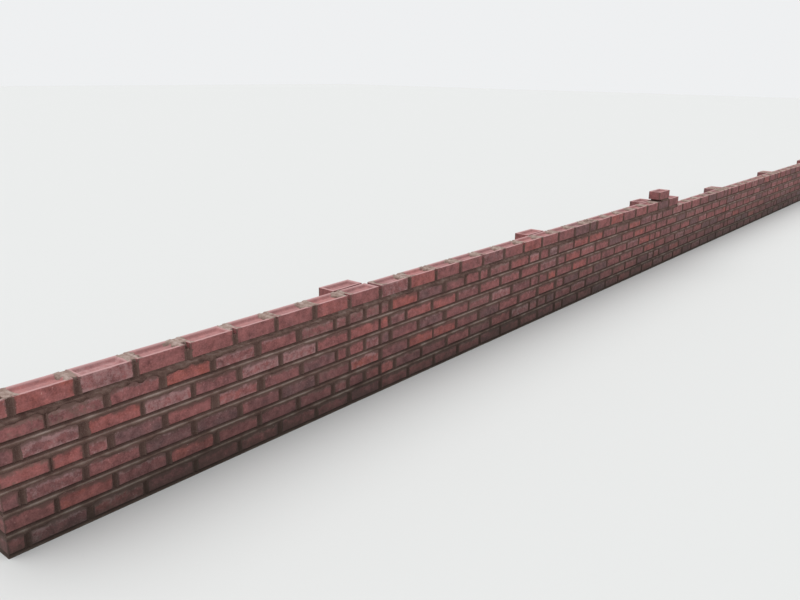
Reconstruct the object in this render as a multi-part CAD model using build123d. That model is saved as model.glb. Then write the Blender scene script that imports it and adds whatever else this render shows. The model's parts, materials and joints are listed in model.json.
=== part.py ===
from build123d import *
import os

os.makedirs("parts", exist_ok=True)

# A brick garden wall, half a brick thick, with piers on its back, as it stands without a coping.
# Millimetres. X runs along the wall, the fair face looks along -Y and the piers stand on +Y.
# The origin is on the ground, in the middle of the wall's length and of its full depth.

# Brick, laid frog up
brick_length = 215.0
brick_width = 102.5
brick_height = 65.0

# Frog, the pressed hollow in the bed face, with sloping sides and cut corners
frog_end_rim = 14.0
frog_side_rim = 12.0
frog_depth = 14.0
frog_slope = 14.0
frog_corner = 8.0

# Mortar joints
bed_joint = 18.0
perpend_joint = 21.0
collar_joint = 12.0
perpend_top_gap = 4.0
joint_recess = 3.0

# Courses, bays and the step down
high_courses = 7
low_courses = 6
bay_count = 6
bricks_per_bay = 8
end_bat_length = 62.0

# Top course of the high run: from this brick on it is set half a brick along, after a half bat
shifted_from = 18
last_high_brick = 24

# First brick of the next course, over this one, on a bed that stops short of its left end
next_course_over = 23
next_bed_gap = 45.0

# Spacing that follows from the bricks and joints
gauge = brick_height + bed_joint
pitch = brick_length + perpend_joint
half_bond = pitch / 2
pier_width = 2 * brick_width + perpend_joint
leaf_depth = brick_width
wall_depth = 2 * brick_width + collar_joint
wall_length = end_bat_length + bay_count * bricks_per_bay * pitch

# Planes of the wall
x_left = -wall_length / 2
x_right = wall_length / 2
y_face = -wall_depth / 2
y_leaf_back = y_face + leaf_depth
y_pier_brick = y_leaf_back + collar_joint
y_pier_back = wall_depth / 2
low_bed_top = bed_joint + (low_courses - 1) * gauge
high_bed_top = bed_joint + (high_courses - 1) * gauge
high_top = high_bed_top + brick_height

BOTTOM_CORNER = (Align.MIN, Align.MIN, Align.MIN)


def stretcher_x(index):
    """Left end of a stretcher in the courses that begin with the end bat."""
    return x_left + end_bat_length + perpend_joint + index * pitch


def high_x(index):
    """Left end of a whole brick in the top course of the high run."""
    if index < shifted_from:
        return stretcher_x(index)
    return stretcher_x(index) + half_bond


def pier_x(bay):
    """Left side of a pier, whose right side lines up with the last stretcher of its bay."""
    return stretcher_x(bay * bricks_per_bay - 1) + brick_length - pier_width


def bay_start(bay):
    """Left limit of a bay, in the middle of a perpend."""
    if bay == 1:
        return x_left
    return stretcher_x((bay - 1) * bricks_per_bay) - perpend_joint / 2


def bay_end(bay):
    """Right limit of a bay, in the middle of a perpend or at the wall's end."""
    if bay == bay_count:
        return x_right
    return bay_start(bay + 1)


def block(x0, x1, y0, y1, z0, z1):
    """Rectangular solid between two corners."""
    return Pos(x0, y0, z0) * Box(x1 - x0, y1 - y0, z1 - z0, align=BOTTOM_CORNER)


def cut_rectangle(length, width, corner):
    """Rectangle with its corners cut at 45 degrees."""
    outline = Rectangle(length, width)
    return chamfer(outline.vertices(), corner)


def frogged_brick(length=brick_length):
    """Brick with its corner at the origin, cut square to a bat where the length is short."""
    mouth_length = brick_length - 2 * frog_end_rim
    mouth_width = brick_width - 2 * frog_side_rim
    mouth = cut_rectangle(mouth_length, mouth_width, frog_corner)
    floor = cut_rectangle(mouth_length - 2 * frog_slope, mouth_width - 2 * frog_slope, frog_corner / 2)
    centre = Pos(brick_length / 2, brick_width / 2, brick_height)
    frog = loft([centre * mouth, centre * Pos(0, 0, -frog_depth) * floor], ruled=True)
    brick = Box(brick_length, brick_width, brick_height, align=BOTTOM_CORNER) - frog
    if length < brick_length:
        brick = brick & Box(length, brick_width, brick_height, align=BOTTOM_CORNER)
    return brick


def stretcher_at(x, bed_top, y=y_face):
    """Whole brick along the wall."""
    return Pos(x, y, bed_top) * whole_brick


def header_at(x, bed_top):
    """Whole brick through the leaf and into the pier, with its end in the fair face."""
    return Pos(x + brick_width, y_face, bed_top) * Rot(0, 0, 90) * whole_brick


def bat_piece(start, end, bed_top):
    """Brick cut short at its right, where its frog is open: its left end, right end and solid."""
    return (start, end, Pos(start, y_face, bed_top) * frogged_brick(end - start))


def whole_piece(x, bed_top):
    """Whole brick in the leaf: its left end, right end and solid."""
    return (x, x + brick_length, stretcher_at(x, bed_top))


def high_pieces(bay):
    """Top course of a bay in the high run, from left to right."""
    pieces = []
    if bay == 1:
        pieces.append(bat_piece(x_left, x_left + end_bat_length, high_bed_top))
    first = (bay - 1) * bricks_per_bay
    for index in range(first, first + bricks_per_bay):
        if index == shifted_from:
            x = stretcher_x(index)
            pieces.append(bat_piece(x, x + half_bond - perpend_joint, high_bed_top))
        pieces.append(whole_piece(high_x(index), high_bed_top))
    return pieces


def low_pieces(bay):
    """Top course of a bay in the low run, from the step or the bay's start up to the headers."""
    first = max((bay - 1) * bricks_per_bay, last_high_brick + 1)
    last = bay * bricks_per_bay - 1
    return [whole_piece(stretcher_x(index), low_bed_top) for index in range(first, last)]


def header_pieces(bay):
    """The two headers of a pier, each with its left and right side."""
    second = pier_x(bay) + brick_width + perpend_joint
    return [(x, x + brick_width, header_at(x, low_bed_top)) for x in (pier_x(bay), second)]


def leaf_mortar(x0, x1, z0, z1):
    """Mortar in the leaf, set back from both faces."""
    return block(x0, x1, y_face + joint_recess, y_leaf_back - joint_recess, z0, z1)


def bed_and_perpends(start, end, pieces, bed_top):
    """Mortar bed with a perpend in each gap beside and between the bricks that lie on it."""
    solid = leaf_mortar(start, end, bed_top - bed_joint, bed_top)
    gap_starts = [start] + [right for _, right, _ in pieces]
    gap_ends = [left for left, _, _ in pieces] + [end]
    for gap_start, gap_end in zip(gap_starts, gap_ends):
        if gap_end - gap_start > perpend_joint / 4:
            solid = solid + leaf_mortar(gap_start, gap_end, bed_top, bed_top + brick_height - perpend_top_gap)
    return solid


def header_perpend(bay):
    """Mortar between a pier's two headers, behind the leaf."""
    x = pier_x(bay) + brick_width
    y0 = y_leaf_back - joint_recess
    y1 = y_pier_back - joint_recess
    return block(x, x + perpend_joint, y0, y1, low_bed_top, low_bed_top + brick_height - perpend_top_gap)


def save(solids, name):
    """Writes one node, from one solid or from several that don't touch."""
    export_step(Compound(children=solids) if len(solids) > 1 else solids[0], f"parts/{name}.step")


whole_brick = frogged_brick()
step_bay = last_high_brick // bricks_per_bay + 1
first_low_x = stretcher_x(last_high_brick + 1)

for bay in range(1, bay_count + 1):
    in_high_run = bay < step_bay
    bed_top = high_bed_top if in_high_run else low_bed_top
    pieces = high_pieces(bay) if in_high_run else low_pieces(bay)
    joined = pieces if in_high_run else pieces + header_pieces(bay)
    mortar_start = bay_start(bay)

    # Leaf of brickwork below the top course, raised under the step
    leaf = block(bay_start(bay), bay_end(bay), y_face, y_leaf_back, 0, bed_top - bed_joint)
    if bay == step_bay:
        mortar_start = first_low_x - perpend_joint
        leaf = leaf + block(
            bay_start(bay), mortar_start, y_face, y_leaf_back, bed_top - bed_joint, high_bed_top - bed_joint
        )
    save([leaf], f"wall_bay_{bay}")

    # Top course of frogged bricks and the mortar that it is laid in
    save([brick for _, _, brick in pieces], f"top_course_{bay}")
    mortar = bed_and_perpends(mortar_start, bay_end(bay), joined, bed_top)
    if not in_high_run:
        mortar = mortar + header_perpend(bay)
    save([mortar], f"top_joints_{bay}")

    # Pier on the back, with a stretcher on top in the high run and its two headers in the low run
    x = pier_x(bay)
    save([block(x, x + pier_width, y_leaf_back, y_pier_back, 0, bed_top)], f"pier_{bay}")
    if in_high_run:
        save([stretcher_at(x, bed_top, y_pier_brick)], f"pier_cap_{bay}")
    else:
        save([brick for _, _, brick in header_pieces(bay)], f"pier_headers_{bay}")

# Last brick of the high run, over the step, with its bed and the perpend on its left
step_piece = whole_piece(high_x(last_high_brick), high_bed_top)
before_step = whole_piece(high_x(last_high_brick - 1), high_bed_top)
save([step_piece[2]], "step_brick")
step_bed_start = bay_start(step_bay)
save([bed_and_perpends(step_bed_start, step_piece[1], [before_step, step_piece], high_bed_top)], "step_joint")

# First brick of the next course and its bed
next_x = high_x(next_course_over)
save([stretcher_at(next_x, high_top + bed_joint)], "next_course_brick")
next_bed = leaf_mortar(next_x + next_bed_gap, next_x + brick_length, high_top, high_top + bed_joint)
save([next_bed], "next_course_bed")
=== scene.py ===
"""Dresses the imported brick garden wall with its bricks, mortar and piers, and lights it."""

import json
import logging
import math
from collections.abc import Callable, Sequence
from dataclasses import dataclass, field
from enum import Enum
from typing import ClassVar

import bpy
import numpy as np
from mathutils import Matrix, Vector

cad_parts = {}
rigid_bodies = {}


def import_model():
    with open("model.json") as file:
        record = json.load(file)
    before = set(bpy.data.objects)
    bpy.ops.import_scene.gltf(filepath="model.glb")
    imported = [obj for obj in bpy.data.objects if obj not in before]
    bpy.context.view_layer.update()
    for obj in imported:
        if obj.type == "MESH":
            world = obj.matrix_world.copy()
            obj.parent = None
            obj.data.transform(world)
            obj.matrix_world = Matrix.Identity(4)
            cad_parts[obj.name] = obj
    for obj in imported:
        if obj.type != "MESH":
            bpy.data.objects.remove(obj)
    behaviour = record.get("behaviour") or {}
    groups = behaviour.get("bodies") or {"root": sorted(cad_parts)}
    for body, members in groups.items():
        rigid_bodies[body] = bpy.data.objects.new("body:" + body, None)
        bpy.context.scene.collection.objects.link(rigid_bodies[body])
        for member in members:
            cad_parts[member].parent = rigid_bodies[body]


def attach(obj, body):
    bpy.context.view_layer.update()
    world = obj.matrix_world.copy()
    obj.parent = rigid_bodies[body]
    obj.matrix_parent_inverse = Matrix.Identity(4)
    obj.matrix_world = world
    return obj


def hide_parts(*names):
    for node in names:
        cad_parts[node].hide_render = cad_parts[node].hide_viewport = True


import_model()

log = logging.getLogger("garden_wall")

ROOT = "root"
Colour = tuple[float, float, float, float]
Span = tuple[float, float]
Ends = tuple[float, float, bool]
Array = np.ndarray

# A brick is looked up by where it begins, and a place beside a joint is known by its distance
START_SLACK = 0.005
JOINT_SLACK = 0.02


def srgb(red: int, green: int, blue: int) -> Colour:
    """Turns a colour as it is seen, 0 to 255, into the linear colour that a socket takes.

    Args:
        red: Red, 0 to 255.
        green: Green, 0 to 255.
        blue: Blue, 0 to 255.

    Returns:
        The linear colour with an alpha of 1.
    """
    def linear(value: int) -> float:
        """One channel, linear."""
        c = value / 255.0
        return c / 12.92 if c <= 0.04045 else ((c + 0.055) / 1.055) ** 2.4

    return (linear(red), linear(green), linear(blue), 1.0)


class Cut(Enum):
    """What a brick is cut to: its name and its length in metres."""

    WHOLE = ("whole", 0.215)
    THREE_QUARTER = ("three_quarter", 0.180)
    HALF = ("half", 0.104)
    CLOSER = ("closer", 0.088)
    END = ("end", 0.062)

    @property
    def label(self) -> str:
        """Name of the cut."""
        return self.value[0]

    @property
    def length(self) -> float:
        """Length of the cut brick."""
        return self.value[1]

    @staticmethod
    def nearest(length: float) -> "Cut":
        """The cut whose length is nearest."""
        return min(Cut, key=lambda cut: abs(cut.length - length))


class Tone(Enum):
    """Looks that a brick can be picked for: tint along the ramp, bloom and mortar smear."""

    BRIGHT = (0.80, 0.20, 0.15)
    ORANGE = (0.93, 0.20, 0.30)
    PURPLE = (0.10, 0.50, 0.25)
    SMEARED = (0.42, 0.70, 0.84)
    PALE = (0.50, 0.98, 0.35)
    PINK = (0.56, 0.55, 0.12)


@dataclass(frozen=True)
class Gauge:
    """Sizes and places of the bricks and joints, in metres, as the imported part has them.

    Courses are counted from the ground, and bricks and piers from the left. Up to changed_pier
    the courses with headers are set half a brick along, and after it the others are. The top
    course changes at brick top_change, and the high run ends with brick last_high. face_back is
    how far the bricks stand behind the planes that smears of mortar reach.
    """

    brick_length: float = 0.215
    brick_width: float = 0.1025
    brick_height: float = 0.065
    bed: float = 0.018
    perpend: float = 0.021
    collar: float = 0.012
    end_bat: float = 0.062
    bays: int = 6
    bay_bricks: int = 8
    changed_pier: int = 2
    top_change: int = 18
    last_high: int = 24
    high_courses: int = 7
    low_courses: int = 6
    next_over: int = 23
    next_bed_gap: float = 0.045
    frog_end_rim: float = 0.014
    frog_side_rim: float = 0.012
    frog_corner: float = 0.004
    frog_depth: float = 0.014
    frog_slope: float = 0.014
    face_back: float = 0.0022

    @property
    def course(self) -> float:
        """Height of a course with its bed."""
        return self.brick_height + self.bed

    @property
    def pitch(self) -> float:
        """Length of a brick with its perpend."""
        return self.brick_length + self.perpend

    @property
    def half_bond(self) -> float:
        """How far the courses are set over each other."""
        return self.pitch / 2

    @property
    def pier_width(self) -> float:
        """Width of a pier, two headers and a perpend."""
        return 2 * self.brick_width + self.perpend

    @property
    def depth(self) -> float:
        """Depth of the wall with its piers."""
        return 2 * self.brick_width + self.collar

    @property
    def face_width(self) -> float:
        """Depth of a brick of the leaf, without what its face stands back."""
        return self.brick_width - self.face_back

    @property
    def x_right(self) -> float:
        """Right end of the wall."""
        return (self.end_bat + self.bays * self.bay_bricks * self.pitch) / 2

    @property
    def x_left(self) -> float:
        """Left end of the wall."""
        return -self.x_right

    @property
    def y_front(self) -> float:
        """Fair face of the bricks."""
        return -self.depth / 2 + self.face_back

    @property
    def y_back(self) -> float:
        """Back face of the leaf."""
        return -self.depth / 2 + self.brick_width

    @property
    def y_pier_brick(self) -> float:
        """Near face of a pier's stretchers, behind the collar joint."""
        return self.y_back + self.collar

    @property
    def y_pier_back(self) -> float:
        """Back face of the piers."""
        return self.depth / 2 - self.face_back

    @property
    def leaf_faces(self) -> Span:
        """Front and back face of the leaf."""
        return (self.y_front, self.y_back)

    @property
    def step_bay(self) -> int:
        """Bay that the top steps down in."""
        return self.last_high // self.bay_bricks + 1

    @property
    def step_x(self) -> float:
        """Left end of the first brick of the low run."""
        return self.stretcher_x(self.last_high + 1)

    def stretcher_x(self, index: int) -> float:
        """Left end of a stretcher in the courses that begin with the end bat."""
        return self.x_left + self.end_bat + self.perpend + index * self.pitch

    def pier_x(self, bay: int) -> float:
        """Left side of a bay's pier."""
        return self.stretcher_x(bay * self.bay_bricks - 1) + self.brick_length - self.pier_width

    def bay_start(self, bay: int) -> float:
        """Left limit of a bay, in the middle of a perpend."""
        if bay == 1:
            return self.x_left
        return self.stretcher_x((bay - 1) * self.bay_bricks) - self.perpend / 2

    def bay_end(self, bay: int) -> float:
        """Right limit of a bay."""
        return self.x_right if bay == self.bays else self.bay_start(bay + 1)

    def bed_top(self, course: int) -> float:
        """Height that the bricks of a course stand at, the lowest course being 1."""
        return self.bed + (course - 1) * self.course

    def ends_shown(self, bay: int) -> tuple[bool, bool]:
        """True for the left and the right end of a bay that are ends of the wall."""
        return (bay == 1, bay == self.bays)

    def laid_at(self, x: float, course: int) -> float:
        """Height that the bricks of a course stand at in one place, with the sag of the course."""
        return self.bed_top(course) + float(sag(x, course))


class Ripple:
    """Smooth random waves of one or two coordinates, the same on every run."""

    SIZE = 256

    def __init__(self, seed: int) -> None:
        """Draws the table of values.

        Args:
            seed: Number that the waves grow from.
        """
        self.table = np.random.RandomState(seed).rand(self.SIZE, self.SIZE)

    def at(self, u: Array, v: Array | float = 0.0) -> Array:
        """Value of the waves.

        Args:
            u: First coordinate, one wave per unit.
            v: Second coordinate, one wave per unit.

        Returns:
            Values from 0 to 1.
        """
        u, v = np.broadcast_arrays(np.asarray(u, float), np.asarray(v, float))
        iu, iv = np.floor(u).astype(int), np.floor(v).astype(int)
        fu, fv = u - iu, v - iv
        fu, fv = fu * fu * (3 - 2 * fu), fv * fv * (3 - 2 * fv)

        def cell(i: Array, j: Array) -> Array:
            """Table value of a cell's corner."""
            return self.table[i % self.SIZE, j % self.SIZE]

        low = cell(iu, iv) * (1 - fu) + cell(iu + 1, iv) * fu
        high = cell(iu, iv + 1) * (1 - fu) + cell(iu + 1, iv + 1) * fu
        return low * (1 - fv) + high * fv

    def rough(self, u: Array, v: Array | float = 0.0) -> Array:
        """Three sizes of wave added up, from 0 to 1."""
        v = np.asarray(v)
        small = 0.5 * self.at(2.13 * u + 7, 2.13 * v + 3)
        smallest = 0.25 * self.at(4.37 * u + 19, 4.37 * v + 11)
        return (self.at(u, v) + small + smallest) / 1.75

    def wide(self, u: Array, v: Array | float = 0.0) -> Array:
        """The same waves stretched so that they reach both 0 and 1 often."""
        return np.clip((self.rough(u, v) - 0.5) * 2.3 + 0.5, 0.0, 1.0)


SAG = Ripple(11)
SAG_DEPTH = 0.0020
SAG_WAVE = 0.9
SAG_START = 40
SAG_BY_COURSE = 0.45


def sag(x: Array | float, course: float) -> Array:
    """How far a course sinks below level along the wall, in metres."""
    return SAG_DEPTH * (SAG.at(np.asarray(x, float) / SAG_WAVE + SAG_START, course * SAG_BY_COURSE) - 1.0)


def frog_depth(gauge: Gauge, from_end: Array, from_side: Array) -> Array:
    """Depth of a frog below its rim, with sides that slope and soften into the floor.

    Args:
        gauge: Sizes of the brick.
        from_end: Distance from the nearer end of the uncut brick.
        from_side: Distance from its nearer side.

    Returns:
        Depths in metres.
    """
    reach_end, reach_side = from_end - gauge.frog_end_rim, from_side - gauge.frog_side_rim
    corner = (reach_end + reach_side) * math.sqrt(0.5) - gauge.frog_corner
    slope = np.clip(np.minimum(np.minimum(reach_end, reach_side), corner) / gauge.frog_slope, 0.0, 1.0)
    return gauge.frog_depth * (0.65 * slope + 0.35 * slope * slope * (3 - 2 * slope))


@dataclass
class Laid:
    """One brick as laid, between two places along the wall.

    bedded is how far mortar from the bed above was wiped over it, and behind is true for a
    brick of a pier that lies behind the leaf.
    """

    x0: float
    x1: float
    course: int
    header: bool = False
    tint: float = 0.5
    bloom: float = 0.2
    smear: float = 0.2
    seed: float = 0.0
    behind: bool = False
    bedded: float = 1.0

    @property
    def middle(self) -> float:
        """Middle of the brick along the wall."""
        return (self.x0 + self.x1) / 2

    @property
    def cut(self) -> Cut:
        """What the brick is cut to."""
        return Cut.WHOLE if self.header else Cut.nearest(self.x1 - self.x0)

    def cut_at_left(self, gauge: Gauge) -> bool:
        """True for the closer on the left of a pier, whose cut end and open frog face left."""
        joints = (gauge.pier_x(bay) - gauge.perpend for bay in range(1, gauge.bays + 1))
        return self.cut is Cut.CLOSER and any(abs(self.x1 - joint) < JOINT_SLACK for joint in joints)

    def frog_dip(self, gauge: Gauge, x: Array, y: Array) -> Array:
        """Depth of this brick's frog at places in the wall, 0 where the brick isn't.

        Args:
            gauge: Sizes of the wall.
            x: Places along the wall.
            y: Places across it.

        Returns:
            Depths in metres.
        """
        whole = gauge.brick_length
        across = (y - gauge.y_front, gauge.y_back - y)
        along = (x - self.x0, self.x1 - x)
        if self.header:
            across, along = along, (across[0], whole - across[0])
        elif self.cut is not Cut.WHOLE and self.cut_at_left(gauge):
            along = (whole - along[1], along[1])
        elif self.cut is not Cut.WHOLE:
            along = (along[0], whole - along[0])
        dip = frog_depth(gauge, np.minimum(*along), np.minimum(*across))
        return np.where((x >= self.x0) & (x <= self.x1), dip, 0.0)


@dataclass
class Bond:
    """Where every brick of the leaf lies: stretcher courses over courses with pier headers.

    The three tables are read from the wall. PICKED gives each tone its bricks, by course
    and place. DRIFTS gives each course its stretches that lie off their places: first brick,
    last brick and shift. BATS gives the ends of the short bricks that are laid in one's place.

    slip and trim are small errors of place and of length. The first short_bricks bricks of a
    course with headers are set back, the first of all by short_bond. tint is a mean and a spread,
    bright and dark are the chance mark and the tint of odd bricks, and bloom and smear are a
    least value, a reach and a power.
    """

    PICKED: ClassVar[dict[Tone, tuple[tuple[int, float], ...]]] = {
        Tone.BRIGHT: ((7, 0.5), (7, 6.5), (7, 9.5), (7, 14.5), (7, 19.9), (6, 17.4), (5, 1.5),
                      (5, 7.5), (5, 9.5), (5, 10.5), (4, 0.7), (4, 17.4), (2, 0.7), (2, 3.0)),
        Tone.ORANGE: ((6, 3.0), (6, 8.8)),
        Tone.PURPLE: ((6, 9.9), (4, 2.0), (4, 6.0), (4, 10.0), (3, 2.6), (3, 3.5), (3, 16.9), (3, 18.9)),
        Tone.SMEARED: ((6, 1.0), (6, 6.2), (6, 6.6), (6, 7.2), (6, 7.6), (6, 8.1), (6, 12.8), (6, 16.2),
                       (5, 27.2), (4, 12.0)),
        Tone.PALE: ((7, 1.5), (5, 2.5), (5, 4.4), (5, 5.5)),
        Tone.PINK: ((7, 2.5), (7, 5.5), (6, 2.0), (6, 5.0), (3, 1.4)),
    }
    DRIFTS: ClassVar[dict[int, tuple[tuple[int, int, float], ...]]] = {
        3: ((3, 6, 0.008), (9, 9, -0.008), (10, 10, -0.018), (11, 11, -0.026), (12, 12, -0.022),
            (13, 14, -0.030), (15, 15, -0.012)),
        4: ((3, 3, 0.014), (4, 5, 0.030), (6, 6, 0.024), (8, 8, -0.036), (9, 9, -0.035), (10, 10, -0.014),
            (11, 11, -0.019), (12, 12, -0.010), (14, 14, -0.010)),
        5: ((0, 0, 0.005), (1, 5, 0.013), (6, 6, 0.004), (9, 13, -0.028), (14, 14, -0.017), (15, 15, -0.010)),
        6: ((3, 3, 0.006), (4, 4, 0.012), (5, 5, 0.019), (6, 6, 0.016), (8, 8, -0.038), (9, 9, -0.042),
            (10, 10, -0.025), (12, 12, -0.040), (13, 13, -0.034), (14, 14, -0.040)),
    }
    BATS: ClassVar[dict[tuple[int, int], tuple[Span, ...]]] = {
        (4, 0): ((0.0, 0.120), (0.135, 0.212)),
        (5, 8): ((-0.008, 0.055), (0.072, 0.190)),
        (6, 10): ((0.0, 0.178), (0.196, 0.330)),
        (6, 11): ((0.083, 0.163),),
    }

    gauge: Gauge
    seed: int = 21
    slip: float = 0.0035
    trim: Span = (-0.0008, 0.0015)
    end_trim: float = 0.0007
    short_bond: float = 0.010
    short_bricks: int = 6
    tint: Span = (0.50, 0.14)
    tint_limits: Span = (0.18, 0.78)
    bright: Span = (0.93, 0.88)
    dark: Span = (0.08, 0.08)
    least_tint: float = 0.04
    far_tint: float = 0.06
    far_places: Span = (14, 26)
    bloom: tuple[float, float, float] = (0.15, 0.75, 1.3)
    smear: tuple[float, float, float] = (0.10, 0.75, 1.6)
    top_smear: float = 0.35
    wiped: float = 1.60
    wiped_under_top: float = 1.45
    rows: dict[int, list[Laid]] = field(default_factory=dict)

    def __post_init__(self) -> None:
        """Lays every course, then looks up the bricks that PICKED lists."""
        self.draw = np.random.RandomState(self.seed)
        for course in range(1, self.gauge.high_courses + 1):
            spans = self.stretcher_spans(course) if course % 2 else self.header_spans(course)
            self.rows[course] = [self.lay(x0, x1, course, header) for x0, x1, header in spans]
        for tone, bricks in self.PICKED.items():
            for course, place in bricks:
                x = self.gauge.stretcher_x(0) + place * self.gauge.pitch
                for brick in self.rows[course]:
                    if brick.x0 <= x <= brick.x1:
                        brick.tint, brick.bloom, brick.smear = tone.value

    def lay(self, x0: float, x1: float, course: int, header: bool) -> Laid:
        """One brick with its small errors of place and its own colour.

        Args:
            x0: Left end as set out.
            x1: Right end as set out.
            course: Course, from the ground.
            header: True if it lies across the wall.

        Returns:
            The brick.
        """
        def chance_of(least: float, reach: float, power: float) -> float:
            """A random share that is more often small than large."""
            return least + reach * draw.rand() ** power

        g, draw = self.gauge, self.draw
        shift, trim = draw.uniform(-self.slip, self.slip), draw.uniform(*self.trim)
        if x0 <= g.x_left or x1 >= g.x_right - 1e-6:
            shift, trim = 0.0, self.end_trim
        tint = float(np.clip(draw.normal(*self.tint), *self.tint_limits))
        chance = draw.rand()
        if chance > self.bright[0]:
            tint = self.bright[1]
        elif chance < self.dark[0]:
            tint = self.dark[1]
        place = ((x0 + x1) / 2 - g.stretcher_x(0)) / g.pitch
        # Bricks grow darker towards the right end of the wall, between far_places
        tint -= self.far_tint * float(np.interp(place, self.far_places, (0.0, 1.0)))
        bloom, smear = chance_of(*self.bloom), chance_of(*self.smear)
        if course >= g.high_courses:
            smear *= self.top_smear
        brick = Laid(x0 + shift + trim, x1 + shift - trim, course, header,
                     max(tint, self.least_tint), bloom, smear, float(draw.uniform(0, 90)))
        brick.bedded = self.bedding(brick)
        return brick

    def bedding(self, brick: Laid) -> float:
        """How far mortar from the bed above was wiped over a brick, not at all where it lies open.

        Args:
            brick: The brick.

        Returns:
            Width of the wiped band, as a multiple of the stain's own.
        """
        g = self.gauge
        open_low = brick.course == g.low_courses and brick.x0 > g.step_x - g.perpend
        if open_low or brick.course == g.high_courses:
            return 0.0
        return self.wiped_under_top if brick.course == g.high_courses - 1 else self.wiped

    def stretcher_spans(self, course: int) -> list[Ends]:
        """Bricks of a course that begins with the end bat and later shifts half a brick.

        Args:
            course: Course, from the ground.

        Returns:
            Left end and right end of each, and whether it is a header.
        """
        g = self.gauge
        at_top = course == g.high_courses
        change = g.top_change if at_top else g.changed_pier * g.bay_bricks
        last = g.last_high if at_top else g.bays * g.bay_bricks - 2
        bat = g.half_bond - g.perpend
        spans = [(g.x_left, g.x_left + g.end_bat, False)]
        for index in range(last + 1):
            x = g.stretcher_x(index)
            if index == change:
                spans.append((x, x + bat, False))
            if index >= change:
                x += g.half_bond
            spans += self.brick_or_bats(course, index, x + self.drift(course, index))
        if not at_top:
            spans.append((g.x_right - bat, g.x_right, False))
        return spans

    def header_spans(self, course: int) -> list[Ends]:
        """Bricks of a course with two headers at each pier, and closers at the first piers.

        Args:
            course: Course, from the ground.

        Returns:
            Left end and right end of each, and whether it is a header.
        """
        g = self.gauge
        joint, half = g.perpend, g.half_bond
        spans = [(g.x_left, g.x_left + g.end_bat + half, False)]
        for index in range(g.bays * g.bay_bricks):
            bay, place = index // g.bay_bricks + 1, index % g.bay_bricks
            shifted = bay <= g.changed_pier
            short = self.short_bond * max(0.0, 1 - index / self.short_bricks)
            x = g.stretcher_x(index) + (half - short if shifted else 0.0) + self.drift(course, index)
            pier = g.pier_x(bay)
            if place == g.bay_bricks - 2 and shifted:
                spans.append((x, pier - joint, False))
            elif place == g.bay_bricks - 1:
                second = pier + g.brick_width + joint
                spans += [(pier, pier + g.brick_width, True), (second, second + g.brick_width, True)]
                if bay < g.changed_pier:
                    after = g.stretcher_x(index + 1)
                    spans.append((after, after + half - joint + self.drift(course, index + 1), False))
            else:
                spans += self.brick_or_bats(course, index, x)
        return spans

    def brick_or_bats(self, course: int, index: int, x: float) -> list[Ends]:
        """A whole brick that begins at a place, or the short ones that are laid there instead."""
        whole = ((0.0, self.gauge.brick_length),)
        return [(x + start, x + end, False) for start, end in self.BATS.get((course, index), whole)]

    def drift(self, course: int, index: int) -> float:
        """How far a brick of the leaf lies from where the gauge would set it."""
        return sum(shift for first, last, shift in self.DRIFTS.get(course, ()) if first <= index <= last)

    def corners(self, course: int) -> list[float]:
        """Ends of the bricks of a course, or none below the lowest."""
        return [x for brick in self.rows.get(course, []) for x in (brick.x0, brick.x1)]

    def in_span(self, course: int, start: float, end: float) -> list[Laid]:
        """Bricks of a course whose left end lies in a stretch of the wall."""
        return [brick for brick in self.rows[course] if start <= brick.x0 + START_SLACK < end]

    def joints(self, course: int, start: float, end: float) -> list[tuple[int, Laid, Laid]]:
        """Perpends of a stretch of a course: number, brick on the left and brick on the right."""
        row, here = self.rows[course], self.in_span(course, start, end)
        return [(number, *pair) for number, pair in enumerate(zip(row, row[1:])) if pair[0] in here]


def put(name: str, data: bpy.types.ID) -> bpy.types.Object:
    """Puts a new object in the scene.

    Args:
        name: Name of the object.
        data: Its mesh, lamp or camera.

    Returns:
        The object.
    """
    made = bpy.data.objects.new(name, data)
    bpy.context.scene.collection.objects.link(made)
    return made


def add_layer(mesh: bpy.types.Mesh, name: str, kind: str, values: object) -> None:
    """Gives every point of a mesh a value or a vector."""
    layer = mesh.attributes.new(name, kind, "POINT")
    key = "vector" if kind == "FLOAT_VECTOR" else "value"
    layer.data.foreach_set(key, np.asarray(values, np.int32 if kind == "INT" else np.float32).ravel())


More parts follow.
